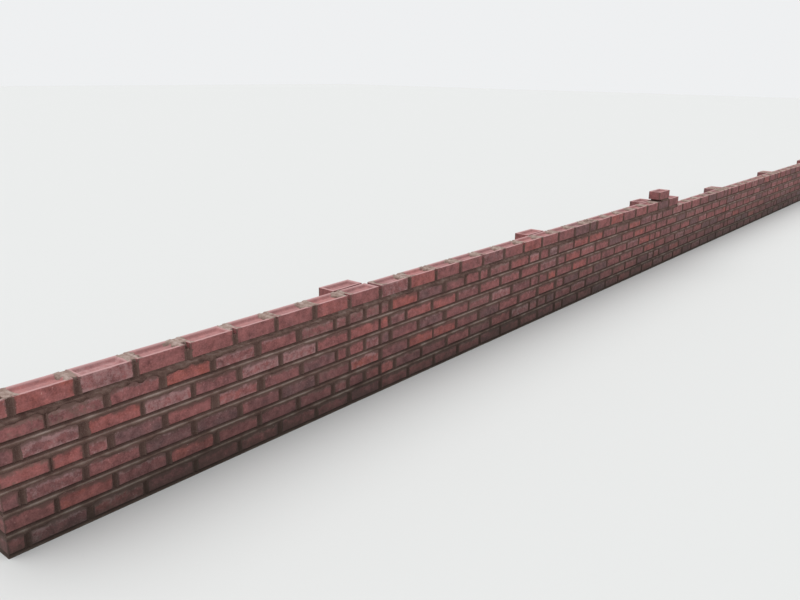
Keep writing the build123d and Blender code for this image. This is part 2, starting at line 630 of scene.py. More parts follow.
@dataclass(frozen=True)
class BrickShape:
    """How one pressed brick is shaped: its cut, its frog and how its arrises are worn.

    Arrises are worn and softened, with chips, faces bow a little, and the frog's floor has a
    grain. The lines are places of the grid: from an end, from a side, on the frog's floor and
    up a face.
    """

    # Section of a plain brick in turn: side, bottom or top, and whether the point is on a side face
    SECTION: ClassVar[tuple[tuple[int, int, bool], ...]] = (
        (-1, -1, True), (-1, -1, False), (1, -1, False), (1, -1, True),
        (1, 1, True), (1, 1, False), (-1, 1, False), (-1, 1, True))

    gauge: Gauge
    cut: Cut
    frogged: bool
    variant: int
    worn: float = 0.0022
    softened: float = 0.32
    chip: float = 0.0013
    bow: float = 0.0011
    grain: float = 0.0007
    end_line: float = 0.008
    side_line: float = 0.007
    floor_line: float = 0.026
    floor_step: float = 0.014
    face_lines: Span = (0.022, 0.044)

    @property
    def half(self) -> tuple[float, float, float]:
        """Half of the brick's length and width, and half its height."""
        return (self.cut.length / 2, self.gauge.face_width / 2, self.gauge.brick_height / 2)

    def build(self, name: str) -> bpy.types.Object:
        """Makes the brick with its middle over the origin and its bed at height 0.

        Args:
            name: Name of the object.

        Returns:
            The brick, with its own place and half size kept as attributes.
        """
        points, faces = self.frogged_body() if self.frogged else self.plain_body()
        mesh = bpy.data.meshes.new(name)
        mesh.from_pydata([tuple(p) for p in points], [], faces)
        mesh.update()
        add_layer(mesh, "local", "FLOAT_VECTOR", np.array(points) - np.array([0, 0, self.half[2]]))
        add_layer(mesh, "half", "FLOAT_VECTOR", np.tile(self.half, (len(points), 1)))
        return bpy.data.objects.new(name, mesh)

    def plain_body(self) -> tuple[list[Array], list[list[int]]]:
        """Brick whose bed faces are hidden: eight-sided rings along its length.

        Returns:
            Points and faces.
        """
        draw = np.random.RandomState(100 + 7 * self.variant + len(self.cut.label))
        length, width, mid_height = self.half
        inner = length - self.worn
        places = [-length, *np.linspace(-inner, inner, 4 if self.cut.length > 0.15 else 2), length]
        size, last = len(self.SECTION), len(places) - 1
        points = []
        for number, x in enumerate(places):
            at_end = number in (0, last)
            inset, chamfer = (self.worn, 0.4 * self.worn) if at_end else (0.0, self.worn)
            for side, level, upright in self.SECTION:
                wear = chamfer * draw.uniform(0.6, 1.5)
                y = side * (width - inset - (0.0 if upright else wear))
                z = level * (mid_height - inset - (wear if upright else 0.0)) + mid_height
                points.append(np.array([x, y + side * draw.uniform(-0.0005, 0.0003), z]))
        faces = [[ring * size + k, ring * size + (k + 1) % size, (ring + 1) * size + (k + 1) % size,
                  (ring + 1) * size + k] for ring in range(last) for k in range(size)]
        return points, [*faces, list(range(size))[::-1], [last * size + k for k in range(size)]]

    def grid_lines(self) -> tuple[list[float], list[float], list[float]]:
        """Places of a frogged brick's grid along it, across it and up, closer on the frog's slope.

        Returns:
            Places along the brick, across it and up, each from end to end.
        """
        g = self.gauge
        length, width, _ = self.half

        def from_edge(line: float, rim: float) -> list[float]:
            """Distances from an edge to the first line on the frog's floor."""
            return [0.0, self.worn, line, *np.linspace(rim, rim + g.frog_slope, 5), rim + self.floor_line]

        left = [place - length for place in from_edge(self.end_line, g.frog_end_rim)]
        if self.cut is Cut.WHOLE:
            along = [*left[:-1], *np.linspace(left[-1], -left[-1], 10), *[-x for x in left[:-1][::-1]]]
        else:
            steps = int((2 * length - g.frog_end_rim - self.floor_line) / self.floor_step)
            along = [*left[:-1], *np.linspace(left[-1], length - self.worn, max(3, steps)), length]
        front = [place - width for place in from_edge(self.side_line, g.frog_side_rim)]
        across = [*front, 0.0, *[-y for y in front[::-1]]]
        return along, across, [0.0, self.worn, *self.face_lines, g.brick_height - self.worn, g.brick_height]

    def worn_point(self, place: Array, outer: list[bool], waves: Ripple) -> Array:
        """Moves a point of the grid to where the press, the frog and wear put it.

        Args:
            place: The point on a sharp, plain block.
            outer: True for each axis that the point is at the end of.
            waves: The brick's own waves.

        Returns:
            The point.
        """
        g = self.gauge
        length, width, mid_height = self.half
        x, y, z = place
        moved = place.copy()
        chip = self.chip * max(0.0, float(waves.at(x * 70, y * 70 + z * 50)) - 0.72) / 0.28
        if sum(outer) > 1:
            back = self.softened * self.worn + chip
            moved -= np.array(outer) * np.copysign(back, place - np.array([0.0, 0.0, mid_height]))
        bow = self.bow * (float(waves.rough(moved[0] * 14 + 5, moved[1] * 14 + moved[2] * 20)) - 0.5)
        if outer[1]:
            moved[1] -= math.copysign(abs(bow), y)
        if outer[2] and z > mid_height:
            from_end = np.array(min(x + length, g.brick_length - x - length))
            moved[2] += min(bow, 0.0) - float(frog_depth(g, from_end, np.array(width - abs(y))))
            if not (outer[0] or outer[1]):
                moved[2] -= self.grain * float(waves.rough(moved[0] * 60, moved[1] * 60))
        return moved

    def frogged_body(self) -> tuple[list[Array], list[list[int]]]:
        """Brick that lies open to the sky: a fine grid over its frog, and worn, softened arrises.

        Returns:
            Points and faces.
        """
        lines = self.grid_lines()
        ends = [len(line) - 1 for line in lines]
        waves = Ripple(300 + self.variant * 13 + len(self.cut.label))
        number: dict[tuple[int, ...], int] = {}
        points: list[Array] = []

        def corner(*key: int) -> int:
            """Number of a grid point on the brick's surface, made when it is first asked for.

            Args:
                key: Number of its line along the brick, across it and up.

            Returns:
                The point's number in the mesh.
            """
            if key not in number:
                number[key] = len(points)
                place = np.array([line[index] for line, index in zip(lines, key)])
                outer = [index in (0, last) for index, last in zip(key, ends)]
                points.append(self.worn_point(place, outer, waves))
            return number[key]

        faces = []
        for axis in range(3):
            for side in (0, ends[axis]):
                for a in range(ends[(axis + 1) % 3]):
                    for b in range(ends[(axis + 2) % 3]):
                        quad = [(side, a, b), (side, a + 1, b), (side, a + 1, b + 1), (side, a, b + 1)]
                        turned = quad if side else [quad[0], *quad[:0:-1]]
                        faces.append([corner(*key[-axis:], *key[:-axis]) for key in turned])
        return points, faces


@dataclass
class Stock:
    """Bricks to lay: a few worn shapes of each cut, kept in a collection while the wall is built."""

    gauge: Gauge
    variants: int = 4
    collection: bpy.types.Collection | None = None
    places: dict[tuple[Cut, bool, int], int] = field(default_factory=dict)

    def fill(self) -> None:
        """Makes every shape, named so that the collection keeps their order."""
        self.collection = bpy.data.collections.new("brick_stock")
        for cut in Cut:
            for frogged in (False, True):
                for variant in range(self.variants):
                    place = len(self.places)
                    shape = BrickShape(self.gauge, cut, frogged, variant)
                    self.collection.objects.link(shape.build(f"stock_{place:03d}_{cut.label}"))
                    self.places[(cut, frogged, variant)] = place

    def clear(self) -> None:
        """Takes the shapes away once every brick is laid."""
        for shape in list(self.collection.objects):
            mesh = shape.data
            bpy.data.objects.remove(shape)
            bpy.data.meshes.remove(mesh)
        bpy.data.collections.remove(self.collection)


@dataclass(frozen=True)
class Flow:
    """Number that flows from a node. Plain arithmetic with it adds the Math nodes that work it out."""

    wiring: "Wiring"
    socket: bpy.types.NodeSocket

    def __add__(self, other: object) -> "Flow":
        """Sum."""
        return self.wiring.math("ADD", self, other)

    def __sub__(self, other: object) -> "Flow":
        """Difference."""
        return self.wiring.math("SUBTRACT", self, other)

    def __rsub__(self, other: object) -> "Flow":
        """Difference from a plain number."""
        return self.wiring.math("SUBTRACT", other, self)

    def __mul__(self, other: object) -> "Flow":
        """Product."""
        return self.wiring.math("MULTIPLY", self, other)

    def __truediv__(self, other: object) -> "Flow":
        """Quotient."""
        return self.wiring.math("DIVIDE", self, other)


# What a node puts out, by name: numbers as flows, and vectors, colours and shapes as sockets
Outlets = dict[str, "Flow | bpy.types.NodeSocket"]


@dataclass(frozen=True)
class Wiring:
    """Adds nodes to a tree and joins them, each input being a flow, a socket or a plain value."""

    tree: bpy.types.NodeTree

    def add(self, kind: str, inputs: dict[str | int, object] | None = None, **settings: object) -> Outlets:
        """Adds a node.

        Args:
            kind: Its type.
            inputs: Its inputs by name or number: flows, sockets or values.
            settings: Its properties.

        Returns:
            Its outputs.
        """
        node = self.tree.nodes.new(kind)
        for key, value in settings.items():
            setattr(node, key, value)
        for key, value in (inputs or {}).items():
            self.feed(node.inputs[key], value)
        return self.outlets(node)

    def outlets(self, node: bpy.types.Node) -> Outlets:
        """Outputs of a node by name, the first one where a name comes again."""
        return {out.name: Flow(self, out) if out.type == "VALUE" else out for out in list(node.outputs)[::-1]}

    @staticmethod
    def feed(socket: bpy.types.NodeSocket, value: object) -> None:
        """Joins a flow or a socket to an input, or sets the input's value.

        Args:
            socket: The input.
            value: What goes to it: a flow, a socket or a value.
        """
        value = value.socket if isinstance(value, Flow) else value
        if isinstance(value, bpy.types.NodeSocket):
            socket.id_data.links.new(value, socket)
        else:
            socket.default_value = value

    def group(self, made: bpy.types.NodeTree, **inputs: object) -> Outlets:
        """Places a shared group with its values."""
        return self.add("ShaderNodeGroup", inputs, node_tree=made)

    def math(self, operation: str, *values: object, clamp: bool = False) -> Flow:
        """Output of a Math node."""
        inputs = dict(enumerate(values))
        return self.add("ShaderNodeMath", inputs, operation=operation, use_clamp=clamp)["Value"]

    def vector(self, operation: str, *values: object) -> bpy.types.NodeSocket:
        """Output of a Vector Math node."""
        return self.add("ShaderNodeVectorMath", dict(enumerate(values)), operation=operation)["Vector"]

    def scaled(self, vector: object, scale: object) -> bpy.types.NodeSocket:
        """A vector times a number."""
        return self.add("ShaderNodeVectorMath", {0: vector, "Scale": scale}, operation="SCALE")["Vector"]

    def split(self, vector: object) -> list[Flow]:
        """The three parts of a vector."""
        parts = self.add("ShaderNodeSeparateXYZ", {0: vector})
        return [parts[axis] for axis in "XYZ"]

    def step(self, value: object, low: float, high: float) -> Flow:
        """Smooth rise from 0 at low to 1 at high."""
        return self.add("ShaderNodeMapRange", {"Value": value, "From Min": low, "From Max": high},
                        interpolation_type="SMOOTHSTEP")["Result"]

    def mix(self, factor: object, one: object, two: object, blend: str = "MIX") -> bpy.types.NodeSocket:
        """Output of a colour mix.

        Args:
            factor: How far it goes from the one to the two.
            one: Colour at factor 0.
            two: Colour at factor 1.
            blend: How the two is laid over the one.

        Returns:
            The colour.
        """
        node = self.tree.nodes.new("ShaderNodeMix")
        node.data_type, node.blend_type = "RGBA", blend
        colours = [socket for socket in node.inputs if socket.type == "RGBA"]
        for socket, value in zip([node.inputs[0], *colours], (factor, one, two)):
            self.feed(socket, value)
        return next(socket for socket in node.outputs if socket.type == "RGBA")

    def noise(self, vector: object, scale: float, detail: float = 4.0, rough: float = 0.55) -> Flow:
        """Value of a noise texture."""
        return self.add("ShaderNodeTexNoise", {"Vector": vector, "Scale": scale, "Detail": detail,
                                               "Roughness": rough})["Fac"]

    def attribute(self, name: str, output: str = "Fac") -> Flow | bpy.types.NodeSocket:
        """Value of a mesh attribute."""
        return self.add("ShaderNodeAttribute", attribute_name=name)[output]

    def ramp(self, value: object, stops: Sequence[tuple[float, Colour]]) -> bpy.types.NodeSocket:
        """Colour from a ramp.

        Args:
            value: Place on the ramp.
            stops: Place and colour of each stop.

        Returns:
            The colour.
        """
        node = self.tree.nodes.new("ShaderNodeValToRGB")
        self.feed(node.inputs["Fac"], value)
        marks = node.color_ramp.elements
        while len(marks) < len(stops):
            marks.new(0.5)
        for mark, (place, colour) in zip(marks, stops):
            mark.position, mark.color = place, colour
        return node.outputs["Color"]


class LayingTree:
    """Geometry Nodes tree that sets a brick on every point and gives it its finish."""

    INPUTS = {"Points": "Geometry", "Stock": "Collection", "Twist": "Float", "Seed": "Int",
              "Finish": "Material"}

    def __init__(self) -> None:
        """Builds the tree with its named inputs."""
        self.group = bpy.data.node_groups.new("lay_bricks", "GeometryNodeTree")
        face = self.group.interface
        self.sockets: dict[str, str] = {}
        for name, kind in self.INPUTS.items():
            socket = face.new_socket(name=name, in_out="INPUT", socket_type=f"NodeSocket{kind}")
            self.sockets[name] = socket.identifier
        face.new_socket(name="Bricks", in_out="OUTPUT", socket_type="NodeSocketGeometry")
        self.wire(Wiring(self.group))

    def wire(self, tree: Wiring) -> None:
        """Adds the nodes: each point gets its brick, its turn with a small twist, and its stretch.

        Args:
            tree: The group's wiring.
        """
        def named(kind: str, name: str) -> object:
            """An attribute of the points."""
            return tree.add("GeometryNodeInputNamedAttribute", {"Name": name}, data_type=kind)["Attribute"]

        given = tree.add("NodeGroupInput")
        stock = tree.add("GeometryNodeCollectionInfo", {
            "Collection": given["Stock"], "Separate Children": True, "Reset Children": True})
        low, high = (tree.scaled((way, way, way), given["Twist"]) for way in (-1.0, 1.0))
        twist = tree.add("FunctionNodeRandomValue", {"Min": low, "Max": high, "Seed": given["Seed"]},
                         data_type="FLOAT_VECTOR")
        laid = tree.add("GeometryNodeInstanceOnPoints", {
            "Points": given["Points"], "Instance": stock["Instances"], "Pick Instance": True,
            "Instance Index": named("INT", "shape"), "Scale": named("FLOAT_VECTOR", "stretch"),
            "Rotation": tree.vector("ADD", twist["Value"], named("FLOAT_VECTOR", "turn"))})
        real = tree.add("GeometryNodeRealizeInstances", {"Geometry": laid["Instances"]})
        dressed = tree.add("GeometryNodeSetMaterial", {
            "Geometry": real["Geometry"], "Material": given["Finish"]})
        tree.add("NodeGroupOutput", {"Bricks": dressed["Geometry"]})

    def run(self, carrier: bpy.types.Object, values: dict[str, object]) -> bpy.types.Mesh:
        """Lays the bricks on a carrier's points and turns them into a plain mesh.

        Args:
            carrier: Object whose vertices are the points.
            values: The modifier's inputs by name.

        Returns:
            The finished mesh.
        """
        modifier = carrier.modifiers.new("lay", "NODES")
        modifier.node_group = self.group
        for name, value in values.items():
            modifier[self.sockets[name]] = value
        bpy.context.view_layer.update()
        graph = bpy.context.evaluated_depsgraph_get()
        laid = bpy.data.meshes.new_from_object(
            carrier.evaluated_get(graph), preserve_all_data_layers=True, depsgraph=graph)
        carrier.modifiers.remove(modifier)
        return laid


def columns(count: int, *values: Array | float) -> Array:
    """Values side by side, one row for each place, with plain numbers repeated."""
    return np.stack([np.broadcast_to(value, count) for value in values], axis=1)


def there_and_back(there: Array, back: Array) -> Array:
    """Points of one face followed by those of the other face in reverse order."""
    return np.concatenate([there, back[:, ::-1]], axis=1)


def enclosed(points: Array, faces: Array) -> float:
    """Six times the volume inside faces of one size, below 0 where they point inwards."""
    fans = points[faces]
    return float(np.einsum("ij,ikj->", fans[:, 0], np.cross(fans[:, 1:-1], fans[:, 2:])))


@dataclass
class Body:
    """Closed shapes gathered into one mesh, with a lightness mark on every point: its own mottle, and painted
    shade and highlight.
    """

    points: list[Array] = field(default_factory=list)
    faces: list[list[int]] = field(default_factory=list)
    marks: list[Array] = field(default_factory=list)
    count: int = 0
    rim_mark: float = 0.2
    sharp: float = math.radians(50)

    def gather(self, points: Array, marks: Array, *faces: Array) -> None:
        """Adds points, their marks, and faces that are numbered from the first of them.

        Args:
            points: The points.
            marks: Lightness of each.
            faces: Faces, one array for each count of corners.
        """
        for group in faces:
            self.faces += (group + self.count).tolist()
        self.points.append(points)
        self.marks.append(np.asarray(marks, float).reshape(-1))
        self.count += len(points)

    def tube(self, x: Array, y: Array, z: Array, marks: Array) -> None:
        """Joins rings of points into a closed tube whose faces point outwards.

        Args:
            x: Places along the wall, one row a ring.
            y: Places across it.
            z: Heights, one for each point or for each ring.
            marks: Lightness of each point, 0 dark to 1 pale.
        """
        points = np.stack(np.broadcast_arrays(x, y, z), axis=-1).reshape(-1, 3)
        index = np.arange(len(points)).reshape(x.shape)
        turned = np.roll(index, -1, axis=1)
        quads = np.stack([index[:-1], turned[:-1], turned[1:], index[1:]], axis=-1).reshape(-1, 4)
        caps = np.stack([index[0][::-1], index[-1]])
        if enclosed(points, quads) + enclosed(points, caps) < 0:
            quads, caps = quads[:, ::-1], caps[:, ::-1]
        self.gather(points, marks, quads, caps)

    def field_pad(self, xs: Array, ys: Array, tops: Array, base: float, marks: Array) -> None:
        """Closes a height field with straight sides and a flat base.

        Args:
            xs: Places along the wall.
            ys: Places across it.
            tops: Heights, one row for each x.
            base: Height of the base.
            marks: Lightness of each top point.
        """
        grid_x, grid_y = np.meshgrid(xs, ys, indexing="ij")
        top = np.stack([grid_x, grid_y, tops], axis=-1).reshape(-1, 3)
        index = np.arange(len(top)).reshape(tops.shape)
        quads = np.stack([index[:-1, :-1], index[1:, :-1], index[1:, 1:], index[:-1, 1:]], axis=-1)
        border = np.concatenate([index[:, 0], index[-1, 1:], index[:-1, -1][::-1], index[0, 1:-1][::-1]])
        low = len(top) + np.arange(len(border))
        sides = np.stack([low, np.roll(low, -1), np.roll(border, -1), border], axis=1)
        rim = top[border] * (1.0, 1.0, 0.0) + (0.0, 0.0, base)
        marks = np.append(marks, np.full(len(rim), self.rim_mark))
        self.gather(np.concatenate([top, rim]), marks, quads.reshape(-1, 4), sides, low[None, ::-1])

    def build(self, name: str, finish: bpy.types.Material) -> bpy.types.Object:
        """Makes the object, smooth but for its sharp turns.

        Args:
            name: Name of the piece.
            finish: Its material.

        Returns:
            The object.
        """
        mesh = bpy.data.meshes.new(name)
        mesh.from_pydata(np.concatenate(self.points).tolist(), [], self.faces)
        mesh.update()
        add_layer(mesh, "pale", "FLOAT", np.concatenate(self.marks))
        mesh.polygons.foreach_set("use_smooth", [True] * len(mesh.polygons))
        mesh.set_sharp_from_angle(angle=self.sharp)
        mesh.materials.append(finish)
        return put(name, mesh)


@dataclass(frozen=True)
class Pointing:
    """How the mortar of a bed was finished on one face, in metres, and where shade and highlight are painted
    on it.

    recess is how far it lies back under the upper brick, lip how far it stands proud of the
    lower one, and lobe how far it hangs down over that brick, least being the least of it.
    rough is how uneven it is, and the two waves are the lengths of a lobe and of a lump. marks
    go down the section and paint shade into the recess and a highlight on the lip, and mottle
    is how much they vary.
    """

    recess: float = 0.0090
    lip: float = 0.0019
    lobe: float = 0.0150
    least: float = 0.0014
    lobe_wave: float = 0.046
    rough: float = 0.0011
    rough_wave: float = 0.022
    marks: tuple[float, ...] = (0.0, 0.03, 0.14, 0.34, 0.84, 0.32, 0.18, 0.14, 0.10)
    mottle: float = 0.10


STRUCK = Pointing()
UNSTRUCK = Pointing(recess=0.0062, lip=0.0020, lobe=0.0175, least=0.0010, lobe_wave=0.034,
                    rough=0.0056, rough_wave=0.013, mottle=0.60,
                    marks=(0.02, 0.26, 0.34, 0.34, 0.40, 0.26, 0.16, 0.12, 0.08))
BACK = Pointing(recess=0.0050, lip=0.0018, lobe=0.0150, least=-0.0010, lobe_wave=0.075, rough=0.0016)


@dataclass
class MortarWork:
    """Beds, perpends and top pads of mortar, shaped by how each was struck, in metres.

    Every joint draws its roughness from the same waves, in a lane of its own, and spacing is
    the length of a step along a bed. proud is the most that mortar may stand out. corner_lobe is
    how much more of it hangs at the corners of the bricks below, within corner_reach, and crumb
    is its fine unevenness. lap is how far a perpend may lap over its bricks. A pad reaches
    pad_over its bricks, keeps pad_edge off the faces and goes pad_base down.
    """

    gauge: Gauge
    waves: Ripple = field(default_factory=lambda: Ripple(77))
    spacing: float = 0.008
    proud: float = 0.0021
    perpend_proud: float = 0.0020
    corner_lobe: float = 0.0090
    corner_reach: float = 0.013
    crumb: float = 0.0045
    lap: float = 0.0120
    pad_over: float = 0.050
    pad_edge: float = 0.0030
    pad_grid: float = 0.0038
    pad_skim: float = 0.0019
    pad_base: float = 0.034
    notch: float = 0.0075
    hole_depth: float = 0.022
    deepest: float = 0.030

    def profile(self, x: Array, low: Array, high: Array, way: Pointing, lane: float, corners: Array
                ) -> tuple[Array, Array, Array]:
        """Section of a bed at one face: how far in each point lies, how high, and how pale.

        Args:
            x: Places along the joint.
            low: Height of the lower bricks there.
            high: Height of the upper bricks there.
            way: How the joint was finished.
            lane: Number that gives this joint waves of its own.
            corners: Ends of the bricks below, whose corners the mortar rounds off.

        Returns:
            Depths, heights and marks, one row for each place.
        """
        w, rise = self.waves, high - low
        # A number added to the lane gives each trait waves of its own
        recess = way.recess * (0.6 + 0.8 * w.rough(x / 0.11, lane))
        lip = way.lip * (0.25 + 0.75 * w.wide(x / 0.03, lane + 31))
        peaks = w.wide(x / way.lobe_wave, lane + 57)
        lobe = way.least + (way.lobe - way.least) * peaks * (0.40 + 0.60 * w.at(x / 0.4, lane + 83))
        if len(corners):
            nearest = corners[np.argmin(np.abs(x[:, None] - corners[None, :]), axis=1)]
            size = 0.2 + w.at(nearest * 40.0, lane + 71)
            lobe += self.corner_lobe * size * np.exp(-((x - nearest) / self.corner_reach) ** 2)
        lobe = np.maximum(lobe + self.crumb * (w.at(x / 0.010, lane + 97) - 0.45), way.least)
        # Down the section: inside the joint, over the lip, and down behind the lower brick's face
        section = (
            (recess + 0.007, high + 0.002),
            (recess, high - 0.0004),
            (0.80 * recess, low + 0.72 * rise),
            (0.34 * recess - 0.2 * lip, low + 0.40 * rise),
            (-lip, low + 0.0044),
            (-0.80 * lip, low - 0.0008 - 0.25 * lobe),
            (-0.45 * lip, low - 0.0002 - 0.85 * lobe),
            (0.0012, low - 0.0010 - lobe),
            (0.009, low - 0.004),
        )
        depth, height = (columns(len(x), *part) for part in zip(*section))
        # Marks paint shade into the recess under the upper brick and a highlight on the proud lip
        marks = columns(len(x), *way.marks) * (0.45 + 0.70 * w.wide(x / 0.06, lane + 7))[:, None]
        for k in range(1, 6):
            bump = way.rough * (w.rough(x / way.rough_wave, lane + 13 * k) - 0.45)
            depth[:, k] = np.maximum(depth[:, k] + bump, -self.proud)
        for k in range(1, 8):
            marks[:, k] += way.mottle * (w.rough(x / 0.015, lane + 29 + 11 * k) - 0.5)
        return depth, np.maximum(height, 0.0), np.clip(marks, 0.0, 1.0)

    def bed(self, body: Body, span: Span, course: int, faces: Span, ways: tuple[Pointing, Pointing],
            free: tuple[bool, bool] = (False, False), corners: Sequence[float] = ()) -> None:
        """Lays the bed under a course.

        Args:
            body: Mesh that it goes to.
            span: Its ends along the wall.
            course: The course that lies on it.
            faces: Its front and back face across the wall.
            ways: How each face is finished.
            free: True for an end that shows.
            corners: Ends of the bricks below.
        """
        start, end = span
        count = max(4, int(round((end - start) / self.spacing)))
        x = np.linspace(start, end, count + 1)
        high = self.gauge.bed_top(course) + sag(x, course)
        low = self.gauge.bed_top(course) - self.gauge.bed + sag(x, course - 1)
        if course == 1:
            low = np.zeros_like(x)
        lanes = (course * 3.7 + 100, course * 5.3 + 160 + faces[1] * 90)
        (front, front_z, front_mark), (back, back_z, back_mark) = (
            self.profile(x, low, high, way, lane, np.array(corners, float)) for way, lane in zip(ways, lanes))
        if course == 1:
            # The flat foot of the lowest bed: depths that differ, so that no face is without area
            least = np.array([0.0012] * 6 + [0.0020, 0.0030, 0.0090])
            front, back = np.maximum(front, least), np.maximum(back, least)
        y = there_and_back(faces[0] + front, faces[1] - back)
        z = there_and_back(front_z, back_z)
        along = np.repeat(x[:, None], y.shape[1], axis=1)
        for station, shows, way in ((0, free[0], 1.0), (-1, free[1], -1.0)):
            if shows:
                share = np.clip((z[station] - low[station]) / (high[station] - low[station]), 0, 1)
                along[station] += way * (0.0005 + 0.006 * share)
        body.tube(along, y, z, there_and_back(front_mark, back_mark))

    def upright_face(self, z: Array, gap: Span, lane: float, shift: float) -> tuple[Array, Array, Array]:
        """Plan of one face of a perpend from left to right, with mortar lapping over both bricks.

        Args:
            z: Heights.
            gap: Ends of the bricks each side.
            lane: Number that gives this joint waves of its own.
            shift: Number that tells the joint's two faces apart.

        Returns:
            Places along the wall, depths and marks, one row for each height.
        """
        w, (left, right) = self.waves, gap
        slope = 0.0030 + 0.0026 * float(w.at(lane * 1.7 + shift, shift))
        to_ends = np.abs(z - z.mean()) / (z[-1] - z[0]) * 2
        reach = 0.0010 + self.lap * float(w.wide(lane * 0.77, shift))
        left_lap, right_lap = (
            share * w.wide(z / wave + shift, lane + salt) - 0.0026 + 0.0030 * to_ends ** 4
            for share, wave, salt in ((0.8 * reach + 0.0002, 0.022, 0), (reach, 0.020, 41)))
        rough = 0.0016 * (w.wide(z / 0.012 + shift, lane + 5) - 0.5)
        # Across the section: inside the left brick, over its lap, the hollow and the right lap; the marks
        # paint shade into the hollow and a highlight on the proud right lap
        section = (
            (left - 0.004, 0.008, 0.10),
            (left - left_lap - 0.0008, 0.0012, 0.16),
            (left - 0.5 * left_lap + 0.0012, -0.0006, 0.20),
            (left + 0.30 * (right - left), slope + rough, 0.10),
            (left + 0.75 * (right - left), 0.55 * slope + rough, 0.18),
            (right + 0.4 * right_lap - 0.0012, -0.0012 + rough, 0.36),
            (right + right_lap + 0.0008, 0.0012, 0.20),
            (right + 0.004, 0.008, 0.10),
        )
        places, depths, marks = (columns(len(z), *part) for part in zip(*section))
        return places, np.maximum(depths, -self.perpend_proud), marks

    def perpend(self, body: Body, gap: Span, rise: Span, faces: Span, lane: float,
                hidden_front: bool = False) -> None:
        """Fills the upright joint between two bricks.

        Args:
            body: Mesh that it goes to.
            gap: Ends of the bricks each side.
            rise: Its lowest and highest height.
            faces: Its front and back face across the wall.
            lane: Number that gives this joint waves of its own.
            hidden_front: True if the front end lies inside the leaf.
        """
        z = np.linspace(rise[0] - 0.002, rise[1] + 0.002, 10)
        front_x, front, front_mark = self.upright_face(z, gap, lane, 3.0)
        back_x, back, back_mark = self.upright_face(z, gap, lane, 9.0)
        front = front * (0.0 if hidden_front else 1.0)
        x = there_and_back(front_x, back_x)
        y = there_and_back(faces[0] + front, faces[1] - back)
        body.tube(x, y, z[:, None], there_and_back(front_mark, back_mark))

    def collar(self, body: Body, span: Span, rise: Span, faces: Span) -> None:
        """Fills the upright joint between the leaf and a pier's stretchers, set back at its sides.

        Args:
            body: Mesh that it goes to.
            span: Sides of the pier.
            rise: Its lowest and highest height.
            faces: Back of the leaf and front of the pier's bricks.
        """
        w = self.waves
        z = np.arange(rise[0], rise[1] + 0.006, 0.012)
        z[-1] = rise[1]
        left = span[0] + 0.003 + 0.005 * w.rough(z / 0.05, 7.0)
        right = span[1] - 0.003 - 0.005 * w.rough(z / 0.05, 19.0)
        near, far = faces[0] - 0.004, faces[1] + 0.004
        middle = (near + far) / 2
        section = ((left, near), (right, near), (right - 0.002, middle), (right, far), (left, far),
                   (left + 0.002, middle))
        x, y = (columns(len(z), *part) for part in zip(*section))
        body.tube(x, y, z[:, None], np.full(x.shape, body.rim_mark))

    def pad(self, body: Body, gap: Span, top: float, faces: Span, hole: float, lane: float,
            bricks: Sequence[Laid], spread: Span) -> None:
        """Mortar over a perpend of the top course, spread on the rims and into the ends of the frogs.

        Args:
            body: Mesh that it goes to.
            gap: Ends of the bricks each side.
            top: Height of the bricks' rims.
            faces: Front and back face of the leaf.
            hole: Length of the hole left open at the front of the joint.
            lane: Number that gives this pad waves of its own.
            bricks: Bricks that it lies on.
            spread: How far it reaches over the left and the right brick.
        """
        w = self.waves
        # A grid that is closer over the joint than over the bricks
        fine = np.linspace(gap[0] - 0.003, gap[1] + 0.003, 9)
        xs = np.concatenate([np.linspace(gap[0] - self.pad_over, fine[0], 13)[:-1], fine,
                             np.linspace(fine[-1], gap[1] + self.pad_over, 13)[1:]])
        ys = np.linspace(faces[0] + self.pad_edge, faces[1] - self.pad_edge,
                         max(8, int((faces[1] - faces[0]) / self.pad_grid)))
        x, y = np.meshgrid(xs, ys, indexing="ij")
        out = np.maximum(np.maximum(gap[0] - x, x - gap[1]), 0.0)
        # Over the joint itself the mortar lies a little below the rims
        z = np.where(out > 0, self.on_bricks(x, y, out, gap, lane, bricks, spread),
                     -0.0006 - 0.0026 * w.rough(x / 0.02, y / 0.02 + lane + 9))
        # A notch at the front of the joint, or a longer hole where it was left open
        end = max(hole, self.notch) * (0.8 + 0.4 * w.at(x / 0.01, lane))
        open_joint = (y - faces[0] < end) & (out <= 0.001)
        z = np.where(open_joint, -self.hole_depth - 0.008 * w.at(x / 0.01, y / 0.01), z)
        # Beside a long hole the pad is broken off down to just below the rims
        beside = (y - faces[0] < end + 0.006) & (out > 0.001) & (out < 0.005) & (hole > 0)
        z = np.maximum(np.where(beside, np.minimum(z, -0.0016), z), -self.deepest)
        # Pale mortar, with painted shade that deepens with depth in the holes and the frogs
        marks = np.clip(0.80 + 0.62 * (w.rough(x / 0.012, y / 0.012 + lane) - 0.5) + z * 24, 0.05, 1.0)
        body.field_pad(xs, ys, top + z, top - self.pad_base, marks)

    def on_bricks(self, x: Array, y: Array, out: Array, gap: Span, lane: float, bricks: Sequence[Laid],
                  spread: Span) -> Array:
        """Top of a pad over its bricks: a skim on the rims that thins out, and a fill in the frogs.

        Args:
            x: Places along the wall.
            y: Places across it.
            out: How far each place is from the joint.
            gap: Ends of the bricks each side.
            lane: Number that gives this pad waves of its own.
            bricks: Bricks that it lies on.
            spread: How far it reaches over the left and the right brick.

        Returns:
            Heights above the bricks' rims.
        """
        w = self.waves
        left = x < (gap[0] + gap[1]) / 2
        # How far the frogs dip below the rims, and how far the pad reaches at each place
        dip = sum(brick.frog_dip(self.gauge, x, y) for brick in bricks)
        ragged = 0.85 * w.rough(y / 0.030 + np.where(left, 0, 37), lane)
        ragged += 0.25 * w.at(x / 0.012, y / 0.012 + lane)
        limit = np.where(left, *spread) * (0.35 + 1.15 * ragged)
